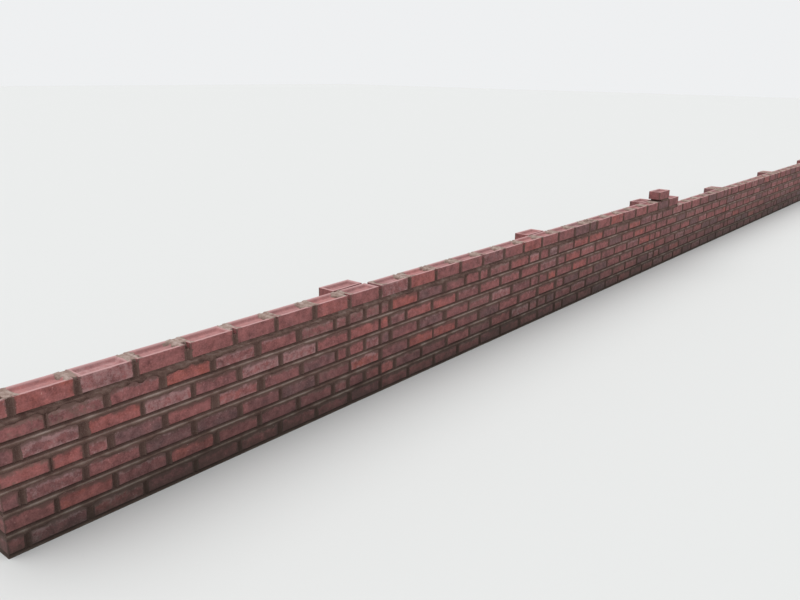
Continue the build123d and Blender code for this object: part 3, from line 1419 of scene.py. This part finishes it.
        # A skim that thins out to its ragged edge, and a fill that slopes down into the frogs
        skim = np.maximum(self.pad_skim * (1 - (out / np.maximum(limit, 0.001)) ** 2), -0.0016)
        skim += 0.0009 * (w.rough(x / 0.008, y / 0.008 + lane) - 0.5)
        fill = -0.0008 - 0.16 * np.maximum(out - 0.012, 0) - 0.006 * (1 - ragged)
        fill += 0.0020 * (w.rough(x / 0.011, y / 0.011 + lane) - 0.5)
        filled = (out > 0.008) & (out < limit + 0.004)
        return np.maximum(skim - dip, np.where(filled, fill, -0.05))


class Effects:
    """Shader node groups that the finishes share."""

    # Kinds of the groups' sockets that aren't plain numbers
    KINDS: ClassVar[dict[str, str]] = {"Place": "Vector", "Colour": "Color"}

    def __init__(self) -> None:
        """Builds every group once."""
        self.arris = self.make("arris_distance", (), ("Distance", "Side", "Dip"), self.arris_distance)
        self.stain = self.make("mortar_stain", ("Place", "Side", "Dip", "Bedded"), ("Mask",),
                               self.mortar_stain)
        self.clay = self.make("fired_clay", ("Place", "Tint"), ("Colour",), self.fired_clay)
        self.patches = self.make("patches", ("Place", "Amount", "Edge", "Size"), ("Mask",),
                                 self.ragged_patches)
        self.grit = self.make("grit", ("Place", "Size"), ("Height", "Speck"), self.sandy_grit)
        self.foot = self.make("foot_soil", ("Place", "Reach"), ("Damp", "Soil"), self.foot_soil)

    @classmethod
    def make(cls, name: str, inputs: Sequence[str], outputs: Sequence[str],
             wire: Callable[[Wiring, Outlets], dict[str, object]]) -> bpy.types.NodeTree:
        """Makes one group with named inputs and outputs.

        Args:
            name: Name of the group.
            inputs: Names of its inputs.
            outputs: Names of its outputs.
            wire: Method that adds the group's nodes and returns its outputs by name.

        Returns:
            The group.
        """
        group = bpy.data.node_groups.new(name, "ShaderNodeTree")
        for way, keys in (("INPUT", inputs), ("OUTPUT", outputs)):
            for key in keys:
                kind = f"NodeSocket{cls.KINDS.get(key, 'Float')}"
                group.interface.new_socket(name=key, in_out=way, socket_type=kind)
        tree = Wiring(group)
        tree.add("NodeGroupOutput", wire(tree, tree.add("NodeGroupInput")))
        return group

    @staticmethod
    def arris_distance(tree: Wiring, _: Outlets) -> dict[str, object]:
        """Distance to a brick's nearest arris, to its nearer end on the same face, and below its top.

        Args:
            tree: The group's wiring.

        Returns:
            The group's outputs.
        """
        local, half = tree.attribute("local", "Vector"), tree.attribute("half", "Vector")
        x, y, z = tree.split(tree.vector("SUBTRACT", half, tree.vector("ABSOLUTE", local)))
        low, high = tree.math("MINIMUM", x, y), tree.math("MAXIMUM", x, y)
        return {"Distance": tree.math("MAXIMUM", low, tree.math("MINIMUM", high, z)), "Side": high,
                "Dip": tree.split(half)[2] - tree.split(local)[2]}

    @staticmethod
    def mortar_stain(tree: Wiring, given: Outlets) -> dict[str, object]:
        """Mortar wiped over the upper edge of a bedded brick and, less, over its ends.

        Args:
            tree: The group's wiring.
            given: The group's inputs.

        Returns:
            The group's outputs.
        """
        broad = tree.noise(given["Place"], 24.0, 3.0)
        fine = (tree.noise(given["Place"], 95.0, 4.0, 0.7) - 0.5) * 0.014
        above = ((broad - 0.25) * 0.034 + 0.004) * tree.math("MAXIMUM", given["Bedded"], 0.02)
        beside = (0.72 - broad) * 0.022 + 0.001
        top = tree.step((given["Dip"] + fine) / above, 0.55, 1.30)
        side = tree.step((given["Side"] + fine) / beside, 0.50, 1.40)
        return {"Mask": 1.0 - top * side}

    @staticmethod
    def fired_clay(tree: Wiring, given: Outlets) -> dict[str, object]:
        """Colour of the fired clay, cloudy within each brick and speckled.

        Args:
            tree: The group's wiring.
            given: The group's inputs.

        Returns:
            The group's outputs.
        """
        place = given["Place"]
        cloud = (tree.noise(place, 15.0, 3.0) - 0.5) * 0.65
        streak = (tree.noise(tree.vector("MULTIPLY", place, (16.0, 16.0, 60.0)), 1.0, 3.0) - 0.5) * 0.35
        colour = tree.ramp(tree.math("ADD", given["Tint"], cloud + streak, clamp=True), CLAY_RAMP)
        broad = (tree.noise(place, 27.0, 3.0) - 0.5) * 1.45
        fine = (tree.noise(place, 150.0, 4.0, 0.65) - 0.5) * 1.30
        dark = tree.step(tree.noise(place, 620.0, 2.0, 0.7), 0.30, 0.42)
        tone = dark * 0.13 + 0.88 + (broad + fine)
        grey = tree.add("ShaderNodeCombineColor", {0: tone, 1: tone, 2: tone})["Color"]
        return {"Colour": tree.mix(1.0, colour, grey, "MULTIPLY")}

    @staticmethod
    def ragged_patches(tree: Wiring, given: Outlets) -> dict[str, object]:
        """Ragged patches that grow with their amount, and grow more where the edge value is high.

        Args:
            tree: The group's wiring.
            given: The group's inputs.

        Returns:
            The group's outputs.
        """
        place = tree.scaled(given["Place"], given["Size"])
        value = tree.noise(place, 1.0, 5.0, 0.62) * 0.60 + tree.noise(place, 5.3, 4.0, 0.7) * 0.40
        bar = 0.80 - given["Amount"] * 0.36 - given["Edge"] * 0.16
        return {"Mask": tree.math("MULTIPLY", value - bar, 7.0, clamp=True)}

    @staticmethod
    def sandy_grit(tree: Wiring, given: Outlets) -> dict[str, object]:
        """Sandy grain: a height for bump and a speck value for colour.

        Args:
            tree: The group's wiring.
            given: The group's inputs.

        Returns:
            The group's outputs.
        """
        place = tree.scaled(given["Place"], given["Size"])
        grain = tree.add("ShaderNodeTexVoronoi", {"Vector": place, "Scale": 1.0, "Randomness": 1.0})
        speck = tree.add("ShaderNodeSeparateColor", {0: grain["Color"]})["Red"]
        return {"Height": grain["Distance"] * 0.5 + tree.noise(place, 0.23, 4.0, 0.6) * 0.9, "Speck": speck}

    @staticmethod
    def foot_soil(tree: Wiring, given: Outlets) -> dict[str, object]:
        """Darkening from damp and painted shade, and soil, that climb from the ground with a ragged upper
        edge.

        Args:
            tree: The group's wiring.
            given: The group's inputs.

        Returns:
            The group's outputs.
        """
        place = given["Place"]
        lifted = tree.split(place)[2] / given["Reach"] + (tree.noise(place, 3.2, 5.0, 0.6) - 0.5) * 0.55
        crumbly = lifted + (tree.noise(place, 30.0, 6.0, 0.7) - 0.5) * 0.9
        damp = tree.math("SUBTRACT", 1.0, lifted, clamp=True)
        return {"Damp": damp, "Soil": 1.0 - tree.step(crumbly, 0.02, 0.26)}


CLAY_RAMP: tuple[tuple[float, Colour], ...] = (
    (0.00, srgb(116, 86, 85)),
    (0.25, srgb(129, 87, 86)),
    (0.50, srgb(142, 91, 89)),
    (0.72, srgb(150, 94, 91)),
    (0.88, srgb(155, 92, 87)),
    (1.00, srgb(160, 91, 82)),
)


@dataclass(frozen=True)
class Finish:
    """What the wall's finishes have in common: matt, soiled and darker at the foot from damp and painted
    shade, with a fine bump.
    """

    name: str
    soil: Colour
    soil_share: float
    damp: Colour
    damp_gloss: float
    roughness: float
    specular: float
    bump: float
    bump_depth: float
    foot_reach: float = 0.28

    def dress(self, tree: Wiring, effects: Effects, place: object) -> tuple[object, object, object]:
        """Adds the nodes of the finish above its foot and gives its colour, roughness and height.

        Args:
            tree: The material's wiring.
            effects: The shared node groups.
            place: Place in the wall.

        Returns:
            Colour, roughness and height for the bump.
        """
        raise NotImplementedError

    def build(self, effects: Effects) -> bpy.types.Material:
        """Makes the material.

        Args:
            effects: The shared node groups.

        Returns:
            The material.
        """
        material = bpy.data.materials.new(self.name)
        material.use_nodes = True
        tree = Wiring(material.node_tree)
        surface = material.node_tree.nodes["Principled BSDF"].inputs
        place = tree.add("ShaderNodeTexCoord")["Object"]
        colour, rough, height = self.dress(tree, effects, place)
        foot = tree.group(effects.foot, Place=place, Reach=self.foot_reach)
        # Darker towards the ground, partly from damp and partly painted shade
        colour = tree.mix(foot["Damp"], colour, self.damp, "MULTIPLY")
        tree.feed(surface["Base Color"], tree.mix(foot["Soil"] * self.soil_share, colour, self.soil))
        tree.feed(surface["Roughness"], rough - foot["Damp"] * self.damp_gloss)
        surface["Specular IOR Level"].default_value = self.specular
        bump = tree.add("ShaderNodeBump", {
            "Strength": self.bump, "Distance": self.bump_depth, "Height": height})
        tree.feed(surface["Normal"], bump["Normal"])
        return material


@dataclass(frozen=True)
class BrickFinish(Finish):
    """Pressed red brick: cloudy clay, pale bloom, smears of mortar, pale rims, arrises pale from wear and a
    painted highlight, and a soiled foot.
    """

    name: str = "pressed_brick"
    soil: Colour = srgb(72, 58, 52)
    soil_share: float = 0.55
    damp: Colour = srgb(165, 182, 178)
    damp_gloss: float = 0.12
    roughness: float = 0.86
    specular: float = 0.25
    bump: float = 0.45
    bump_depth: float = 0.0012
    bloom: Colour = srgb(186, 152, 150)
    smear: Colour = srgb(128, 104, 95)
    stain: Colour = srgb(100, 76, 69)
    speck: Colour = srgb(212, 188, 182)
    # rim is also laid thinly along every arris as a painted highlight
    rim: Colour = srgb(190, 149, 147)

    def dress(self, tree: Wiring, effects: Effects, place: object) -> tuple[object, object, object]:
        """Lays each mark over the clay in turn, in patterns that each brick has to itself.

        Args:
            tree: The material's wiring.
            effects: The shared node groups.
            place: Place in the wall.

        Returns:
            Colour, roughness and height for the bump.
        """
        seed, bedded = tree.attribute("seed"), tree.attribute("bedded")
        shift = tree.add("ShaderNodeCombineXYZ", {0: seed, 1: seed * 1.7, 2: seed})["Vector"]
        own = tree.vector("ADD", place, shift)
        arris = tree.group(effects.arris)
        distance, dip = arris["Distance"], arris["Dip"]
        upward = tree.step(tree.split(tree.add("ShaderNodeNewGeometry")["Normal"])[2], 0.35, 0.80)
        near_top = (1.0 - tree.step(dip, 0.012, 0.036)) * tree.math("MINIMUM", bedded, 1.0)
        edge = tree.math("MAXIMUM", (1.0 - tree.step(distance, 0.0, 0.016)) * 0.35, near_top)
        bloom, smear = (
            tree.group(effects.patches, Place=own, Amount=tree.attribute(key), Edge=edge, Size=size)["Mask"]
            for key, size in (("bloom", 38.0), ("smear", 36.0)))
        stain = tree.group(effects.stain, Place=own, Side=arris["Side"], Dip=dip, Bedded=bedded)["Mask"]
        speck = tree.step(tree.noise(own, 150.0, 3.0, 0.6), 0.68, 0.74)
        on_rim = 1.0 - tree.step(dip, 0.0010, 0.0075)
        # A pale line along every arris, partly wear and partly a painted highlight
        sharp = 1.0 - tree.step(distance, 0.0005, 0.0024)
        colour = tree.group(effects.clay, Place=own, Tint=tree.attribute("tint"))["Colour"]
        for share, mark in (
                (bloom * 0.52, self.bloom),
                (smear * 0.72, self.smear),
                (stain * (1.0 - upward) * 0.78, self.stain),
                (speck * 0.50, self.speck),
                (upward * (on_rim * 0.44 + 0.34), self.rim),
                (sharp * 0.12, self.rim)):
            colour = tree.mix(share, colour, mark)
        chalky = tree.math("MAXIMUM", bloom, smear)
        grit = tree.group(effects.grit, Place=own, Size=520.0)["Height"]
        return colour, chalky * 0.10 + self.roughness, grit * 0.35 + chalky * 0.5


@dataclass(frozen=True)
class MortarFinish(Finish):
    """Weathered sand and cement mortar, with painted shade where it is set back and a painted highlight on
    its lips.
    """

    name: str = "sand_mortar"
    soil: Colour = srgb(68, 55, 48)
    soil_share: float = 0.60
    damp: Colour = srgb(174, 184, 180)
    damp_gloss: float = 0.10
    roughness: float = 0.93
    specular: float = 0.2
    bump: float = 0.5
    bump_depth: float = 0.0016
    # Painted shade for the recesses and holes, also the colour of the dark grains of sand
    deep: Colour = srgb(78, 56, 50)
    plain: Colour = srgb(112, 87, 79)
    # Painted highlight on the lips, which is also the own pale colour of the pads
    lip: Colour = srgb(152, 131, 121)
    pale: Colour = srgb(174, 153, 145)
    grain: Colour = srgb(186, 168, 156)

    def dress(self, tree: Wiring, effects: Effects, place: object) -> tuple[object, object, object]:
        """Colours the mortar by its marks, which paint shade into its recesses and holes and a highlight on
        its lips, with light and dark grains of sand in it.

        Args:
            tree: The material's wiring.
            effects: The shared node groups.
            place: Place in the wall.

        Returns:
            Colour, roughness and height for the bump.
        """
        grit = tree.group(effects.grit, Place=place, Size=560.0)
        cloud = (tree.noise(place, 9.0, 5.0, 0.6) - 0.5) * 0.45
        value = tree.math("ADD", tree.attribute("pale"), cloud, clamp=True)
        colour = tree.ramp(value, ((0.0, self.deep), (0.34, self.plain), (0.78, self.lip), (1.0, self.pale)))
        colour = tree.mix(tree.step(grit["Speck"], 0.86, 0.95) * 0.12, colour, self.grain)
        colour = tree.mix(tree.step(grit["Speck"], 0.20, 0.06) * 0.30, colour, self.deep)
        return colour, self.roughness, grit["Height"]


def joint_lane(course: int, number: int) -> float:
    """Number that gives a perpend of the leaf, and the pad on it, waves of its own."""
    return course * 41.3 + number * 3.1


@dataclass
class Yard:
    """What every sub-assembly is built with: sizes, bond, brick stock, laying tree and finishes."""

    gauge: Gauge
    bond: Bond
    stock: Stock
    tree: LayingTree
    mortar: MortarWork
    brick: bpy.types.Material
    sand: bpy.types.Material
    twist: float = 0.0035
    in_out: float = 0.0012
    header_trim: float = 0.002
    header_forward: float = 0.0005

    def lay(self, name: str, node: str, bricks: Sequence[Laid], slot: str, seed: int,
            frogged: bool = False) -> None:
        """Lays bricks as one piece.

        Args:
            name: Name of the piece.
            node: Node of the part that it replaces.
            bricks: The bricks.
            slot: The record's material slot; not used.
            seed: Seed of their small turns and of the shapes that are picked.
            frogged: True where their tops show.
        """
        g, draw = self.gauge, np.random.RandomState(seed)
        points, shapes, turns, stretches = [], [], [], []
        for brick in bricks:
            cut, span = brick.cut, brick.x1 - brick.x0
            in_out = draw.uniform(0.0, self.in_out)
            turn = 0.0 if draw.rand() < 0.5 or cut is not Cut.WHOLE else math.pi
            stretch = (span / cut.length, 1.0, 1.0)
            y = g.y_front + g.face_width / 2 + in_out
            if brick.header:
                turn = math.pi / 2 if draw.rand() < 0.5 else -math.pi / 2
                length = g.y_pier_back - g.y_front - self.header_trim
                stretch = (length / cut.length, span / g.face_width, 1.0)
                y = (g.y_front + g.y_pier_back) / 2 + in_out - self.header_forward
            elif brick.behind:
                y = g.y_pier_back - g.face_width / 2 - in_out
            elif frogged and brick.cut_at_left(g):
                turn = math.pi
            points.append((brick.middle, y, g.laid_at(brick.middle, brick.course)))
            shapes.append(self.stock.places[(cut, frogged, int(draw.randint(self.stock.variants)))])
            turns.append((0.0, 0.0, turn))
            stretches.append(stretch)
        mesh = bpy.data.meshes.new(f"{name}_points")
        mesh.from_pydata(points, [], [])
        add_layer(mesh, "shape", "INT", shapes)
        add_layer(mesh, "turn", "FLOAT_VECTOR", turns)
        add_layer(mesh, "stretch", "FLOAT_VECTOR", stretches)
        for key in ("tint", "bloom", "smear", "seed", "bedded"):
            add_layer(mesh, key, "FLOAT", [getattr(brick, key) for brick in bricks])
        piece = put(name, mesh)
        piece.data = self.tree.run(piece, {"Stock": self.stock.collection, "Twist": self.twist,
                                           "Seed": seed, "Finish": self.brick})
        piece.data.name = name
        bpy.data.meshes.remove(mesh)
        self.ready(piece, slot, node)

    def fill(self, body: Body, name: str, node: str) -> None:
        """Makes the mortar gathered in a body one piece, in place of a node."""
        self.ready(body.build(name, self.sand), "mortar", node)

    @staticmethod
    def ready(piece: bpy.types.Object, slot: str, node: str) -> None:
        """Lets a piece ride on the root body in place of a node and reports it."""
        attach(piece, ROOT)
        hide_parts(node)
        log.info("%s: %d faces", piece.name, len(piece.data.polygons))

    def beds_and_perpends(self, body: Body, courses: Sequence[int], span: Span,
                          free: tuple[bool, bool] = (False, False)) -> None:
        """Mortar of whole courses of the leaf.

        Args:
            body: Mesh that it goes to.
            courses: The courses.
            span: Ends of the stretch of wall.
            free: True for an end of the wall that shows.
        """
        g = self.gauge
        for course in courses:
            below = self.bond.corners(course - 1)
            self.mortar.bed(body, span, course, g.leaf_faces, (STRUCK, BACK), free, below)
            for number, one, other in self.bond.joints(course, *span):
                base = g.laid_at(one.x1, course)
                self.mortar.perpend(body, (one.x1, other.x0), (base, base + g.brick_height), g.leaf_faces,
                                    joint_lane(course, number))


@dataclass
class LeafBay:
    """The brickwork of one bay below its top course."""

    yard: Yard
    bay: int

    def build(self) -> None:
        """Lays the bricks and their mortar in place of the bay's node."""
        yard, g, bay = self.yard, self.yard.gauge, self.bay
        start, end = g.bay_start(bay), g.bay_end(bay)
        courses = range(1, g.high_courses if bay < g.step_bay else g.low_courses)
        bricks = [brick for course in courses for brick in yard.bond.in_span(course, start, end)
                  if not brick.header]
        body = Body()
        yard.beds_and_perpends(body, courses, (start, end), g.ends_shown(bay))
        if bay == g.step_bay:
            raised = (start, g.step_x - g.perpend)
            bricks += yard.bond.in_span(g.low_courses, *raised)
            yard.beds_and_perpends(body, [g.low_courses], raised)
        yard.lay(f"leaf_bricks_{bay}", f"wall_bay_{bay}", bricks, "wall_brickwork", 500 + bay)
        yard.fill(body, f"leaf_mortar_{bay}", f"wall_bay_{bay}")


@dataclass
class TopCourse:
    """The open top course of one bay: frogged bricks, their bed, perpends and pads.

    Both tables are read from the high run and count its joints from the left. HOLES gives
    the length of the hole at the front of a joint. BARE gives how far the pad on a joint reaches
    over the brick on its left and on its right, as a share of its usual reach. A perpend stops
    top_gap below the rims, and up to sunk lower where it has a hole.
    """

    HOLES: ClassVar[dict[int, float]] = {
        1: 0.013, 2: 0.015, 3: 0.034, 4: 0.026, 5: 0.012, 7: 0.036, 8: 0.120, 10: 0.015, 12: 0.026,
        14: 0.018, 17: 0.013, 20: 0.030, 22: 0.015}
    BARE: ClassVar[dict[int, Span]] = {
        1: (1.15, 0.35), 2: (0.45, 1.20), 4: (0.40, 1.20), 8: (0.10, 1.90), 9: (1.30, 1.50)}

    yard: Yard
    bay: int
    top_gap: float = 0.005
    sunk: float = 0.026
    least_reach: float = 0.017
    more_reach: float = 0.014

    def build(self) -> None:
        """Lays the course in place of its nodes."""
        yard, g, bay = self.yard, self.yard.gauge, self.bay
        high = bay < g.step_bay
        course = g.high_courses if high else g.low_courses
        start = g.step_x - g.perpend if bay == g.step_bay else g.bay_start(bay)
        end = g.bay_end(bay)
        body = Body()
        yard.mortar.bed(body, (start, end), course, g.leaf_faces, (UNSTRUCK if high else STRUCK, BACK),
                        g.ends_shown(bay), yard.bond.corners(course - 1))
        for number, one, other in yard.bond.joints(course, start, end):
            place = round((other.x0 - g.stretcher_x(0)) / g.pitch)
            hole, shares = 0.0, (1.0, 1.0)
            if high:
                hole, shares = self.HOLES.get(place, hole), self.BARE.get(place, shares)
            self.joint(body, one, other, joint_lane(course, number), hole, shares)
        laid = [brick for brick in yard.bond.in_span(course, start, end) if not brick.header]
        yard.lay(f"top_bricks_{bay}", f"top_course_{bay}", laid, "frogged_brick", 600 + bay, frogged=True)
        yard.fill(body, f"top_mortar_{bay}", f"top_joints_{bay}")

    def joint(self, body: Body, one: Laid, other: Laid, lane: float, hole: float, shares: Span) -> None:
        """Fills the perpend between two bricks and spreads the pad on it.

        Args:
            body: Mesh that they go to.
            one: Brick on the left.
            other: Brick on the right.
            lane: Number that gives the joint waves of its own.
            hole: Length of the hole left open at its front.
            shares: How far the pad reaches over each brick, as a share of its usual reach.
        """
        g, mortar = self.yard.gauge, self.yard.mortar
        gap, base = (one.x1, other.x0), g.laid_at(one.x1, one.course)
        top = base + g.brick_height
        faces = (g.y_front, g.y_pier_back) if one.header and other.header else g.leaf_faces
        mortar.perpend(body, gap, (base, top - self.top_gap - min(self.sunk, 0.8 * hole)), faces, lane)
        left, right = (share * (self.least_reach + self.more_reach * float(mortar.waves.at(lane, shift)))
                       for share, shift in zip(shares, (2.0, 5.0)))
        mortar.pad(body, gap, top, faces, hole, lane, (one, other), (left, right))


@dataclass
class Pier:
    """One pier on the back: stretchers and pairs of headers in turn, with the brick or headers on top.

    lap is how far its mortar reaches into the leaf.
    """

    yard: Yard
    bay: int
    stretcher_length: float = 0.221
    lap: float = 0.015

    def stretcher(self, course: int, draw: np.random.RandomState, length: float) -> Laid:
        """A brick along the wall in the pier."""
        x = self.yard.gauge.pier_x(self.bay) + 0.002 + draw.uniform(-0.001, 0.001)
        return Laid(x, x + length, course, tint=float(draw.uniform(0.3, 0.65)), bloom=0.6 * draw.rand(),
                    smear=0.6 * draw.rand(), seed=float(draw.uniform(0, 90)), behind=True)

    def build(self) -> None:
        """Builds the pier in place of its nodes."""
        yard, g, bay = self.yard, self.yard.gauge, self.bay
        draw = np.random.RandomState(900 + bay)
        high = bay < g.step_bay
        sides = (g.pier_x(bay), g.pier_x(bay) + g.pier_width)
        top = g.high_courses if high else g.low_courses
        shaft = [self.stretcher(course, draw, self.stretcher_length) for course in range(1, top, 2)]
        headers = {course: [brick for brick in yard.bond.in_span(course, *sides) if brick.header]
                   for course in range(2, top + 1, 2)}
        crown = [self.stretcher(top, draw, g.brick_length)] if high else headers.pop(top)
        for brick in crown:
            brick.bedded = 0.0
        shaft += [brick for pair in headers.values() for brick in pair]
        body = Body()
        faces = (g.y_back - self.lap, g.y_pier_back)
        for course in range(1, top + 1):
            yard.mortar.bed(body, sides, course, faces, (STRUCK, BACK), (True, True))
            base = g.laid_at(sides[0], course)
            if course in headers:
                one, other = headers[course]
                yard.mortar.perpend(body, (one.x1, other.x0), (base, base + g.brick_height), faces,
                                    bay * 17.0 + course, hidden_front=True)
            elif course < top:
                yard.mortar.collar(body, sides, (base - 0.004, base + g.brick_height + 0.004),
                                   (g.y_back, g.y_pier_brick))
        yard.lay(f"pier_bricks_{bay}", f"pier_{bay}", shaft, "pier_brickwork", 700 + bay)
        yard.fill(body, f"pier_mortar_{bay}", f"pier_{bay}")
        name = "pier_cap" if high else "pier_headers"
        yard.lay(f"{name}_bricks_{bay}", f"{name}_{bay}", crown, "frogged_brick", 800 + bay, frogged=True)


@dataclass
class LooseEnds:
    """The last brick of the high run over the step, and the first brick of the next course."""

    yard: Yard

    def build(self) -> None:
        """Builds both bricks and their beds."""
        self.step()
        self.next_course()

    def step(self) -> None:
        """Lays the brick over the step, with a little mortar squeezed out onto the brick below."""
        yard, g = self.yard, self.yard.gauge
        step = yard.bond.rows[g.high_courses][-1]
        body = Body()
        span = (g.bay_start(g.step_bay), step.x1)
        yard.mortar.bed(body, span, g.high_courses, g.leaf_faces, (UNSTRUCK, BACK), (False, True))
        below = [brick for brick in yard.bond.rows[g.low_courses] if abs(brick.x0 - g.step_x) < JOINT_SLACK]
        yard.mortar.pad(body, (step.x1 - 0.014, step.x1 + 0.001),
                        g.laid_at(step.x1, g.low_courses) + g.brick_height, g.leaf_faces,
                        hole=0.0, lane=12.0, bricks=below, spread=(0.010, 0.010))
        yard.fill(body, "step_mortar", "step_joint")
        yard.lay("step_brick_laid", "step_brick", [step], "frogged_brick", 871, frogged=True)

    def next_course(self) -> None:
        """Lays the first brick of the next course on its short bed."""
        yard, g = self.yard, self.yard.gauge
        course = g.high_courses + 1
        x = g.stretcher_x(g.next_over) + g.half_bond
        over = Laid(x, x + g.brick_length, course, tint=0.42, bloom=0.15, smear=0.1, seed=33.0, bedded=0.0)
        body = Body()
        span = (x + g.next_bed_gap, over.x1)
        yard.mortar.bed(body, span, course, g.leaf_faces, (UNSTRUCK, BACK), (True, True))
        yard.fill(body, "next_course_mortar", "next_course_bed")
        yard.lay("next_course_brick_laid", "next_course_brick", [over], "frogged_brick", 881, frogged=True)


@dataclass
class Studio:
    """Plain pale floor, soft light from above and the camera at the photograph's angle."""

    camera_at: tuple[float, float, float] = (-6.6724, -2.6166, 1.6401)
    yaw: float = math.radians(50.950)
    pitch: float = math.radians(16.349)
    roll: float = math.radians(0.858)
    lens: float = 35.36
    sensor: float = 36.0
    floor_size: float = 120.0
    floor_colour: Colour = srgb(214, 213, 210)
    sky: Colour = (0.90, 0.95, 1.0, 1.0)
    sky_strength: float = 0.66
    backdrop: Colour = (0.86, 0.87, 0.88, 1.0)
    sun_strength: float = 2.1
    sun_angle: float = math.radians(75)
    sun_tilt: tuple[float, float, float] = (math.radians(-14), math.radians(-10), 0.0)

    def build(self) -> None:
        """Makes the floor, the light and the camera."""
        self.floor()
        self.light()
        self.camera()

    def floor(self) -> None:
        """Makes the floor, which is no part of the wall."""
        half = self.floor_size / 2
        mesh = bpy.data.meshes.new("floor")
        mesh.from_pydata([(-half, -half, 0), (half, -half, 0), (half, half, 0), (-half, half, 0)], [],
                         [(0, 1, 2, 3)])
        material = bpy.data.materials.new("pale_floor")
        material.use_nodes = True
        surface = material.node_tree.nodes["Principled BSDF"].inputs
        surface["Base Color"].default_value = self.floor_colour
        surface["Roughness"].default_value = 0.95
        surface["Specular IOR Level"].default_value = 0.1
        mesh.materials.append(material)
        floor = put("floor", mesh)

    def light(self) -> None:
        """Makes the even sky and one wide, soft lamp above."""
        world = bpy.data.worlds.new("sky")
        bpy.context.scene.world = world
        world.use_nodes = True
        tree = Wiring(world.node_tree)
        plain = world.node_tree.nodes["Background"]
        plain.inputs["Color"].default_value = self.sky
        plain.inputs["Strength"].default_value = self.sky_strength
        seen = tree.add("ShaderNodeBackground", {"Color": self.backdrop, "Strength": 1.0})
        path = tree.add("ShaderNodeLightPath")
        rays = tree.math("MAXIMUM", path["Is Camera Ray"],
                         tree.math("MAXIMUM", path["Is Glossy Ray"], path["Is Transmission Ray"]))
        mixed = tree.add("ShaderNodeMixShader", {0: rays, 1: plain.outputs[0], 2: seen["Background"]})
        tree.feed(world.node_tree.nodes["World Output"].inputs["Surface"], mixed["Shader"])
        lamp = bpy.data.lights.new("soft_sky_lamp", "SUN")
        lamp.energy, lamp.angle = self.sun_strength, self.sun_angle
        put("soft_sky_lamp", lamp).rotation_euler = self.sun_tilt

    def camera(self) -> None:
        """Makes the camera, turned as the photograph was taken."""
        forward = Vector((math.sin(self.yaw) * math.cos(self.pitch),
                          math.cos(self.yaw) * math.cos(self.pitch), -math.sin(self.pitch)))
        level = Vector((math.cos(self.yaw), -math.sin(self.yaw), 0.0))
        upright = level.cross(forward)
        right = level * math.cos(self.roll) + upright * math.sin(self.roll)
        up = upright * math.cos(self.roll) - level * math.sin(self.roll)
        turn = Matrix((right, up, -forward)).transposed()
        data = bpy.data.cameras.new("camera")
        data.lens, data.sensor_width = self.lens, self.sensor
        made = put("camera", data)
        made.matrix_world = Matrix.Translation(self.camera_at) @ turn.to_4x4()
        bpy.context.scene.camera = made


def main() -> None:
    """Builds the wall piece by piece inside the frame."""
    logging.basicConfig(level=logging.INFO, format="%(name)s %(message)s")
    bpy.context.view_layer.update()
    bpy.context.scene.view_settings.view_transform = "Standard"
    gauge = Gauge()
    effects = Effects()
    stock = Stock(gauge)
    stock.fill()
    yard = Yard(gauge, Bond(gauge), stock, LayingTree(), MortarWork(gauge),
                BrickFinish().build(effects), MortarFinish().build(effects))
    for bay in range(1, gauge.bays + 1):
        LeafBay(yard, bay).build()
        TopCourse(yard, bay).build()
        Pier(yard, bay).build()
    LooseEnds(yard).build()
    stock.clear()
    Studio().build()


if __name__ == "__main__":
    main()
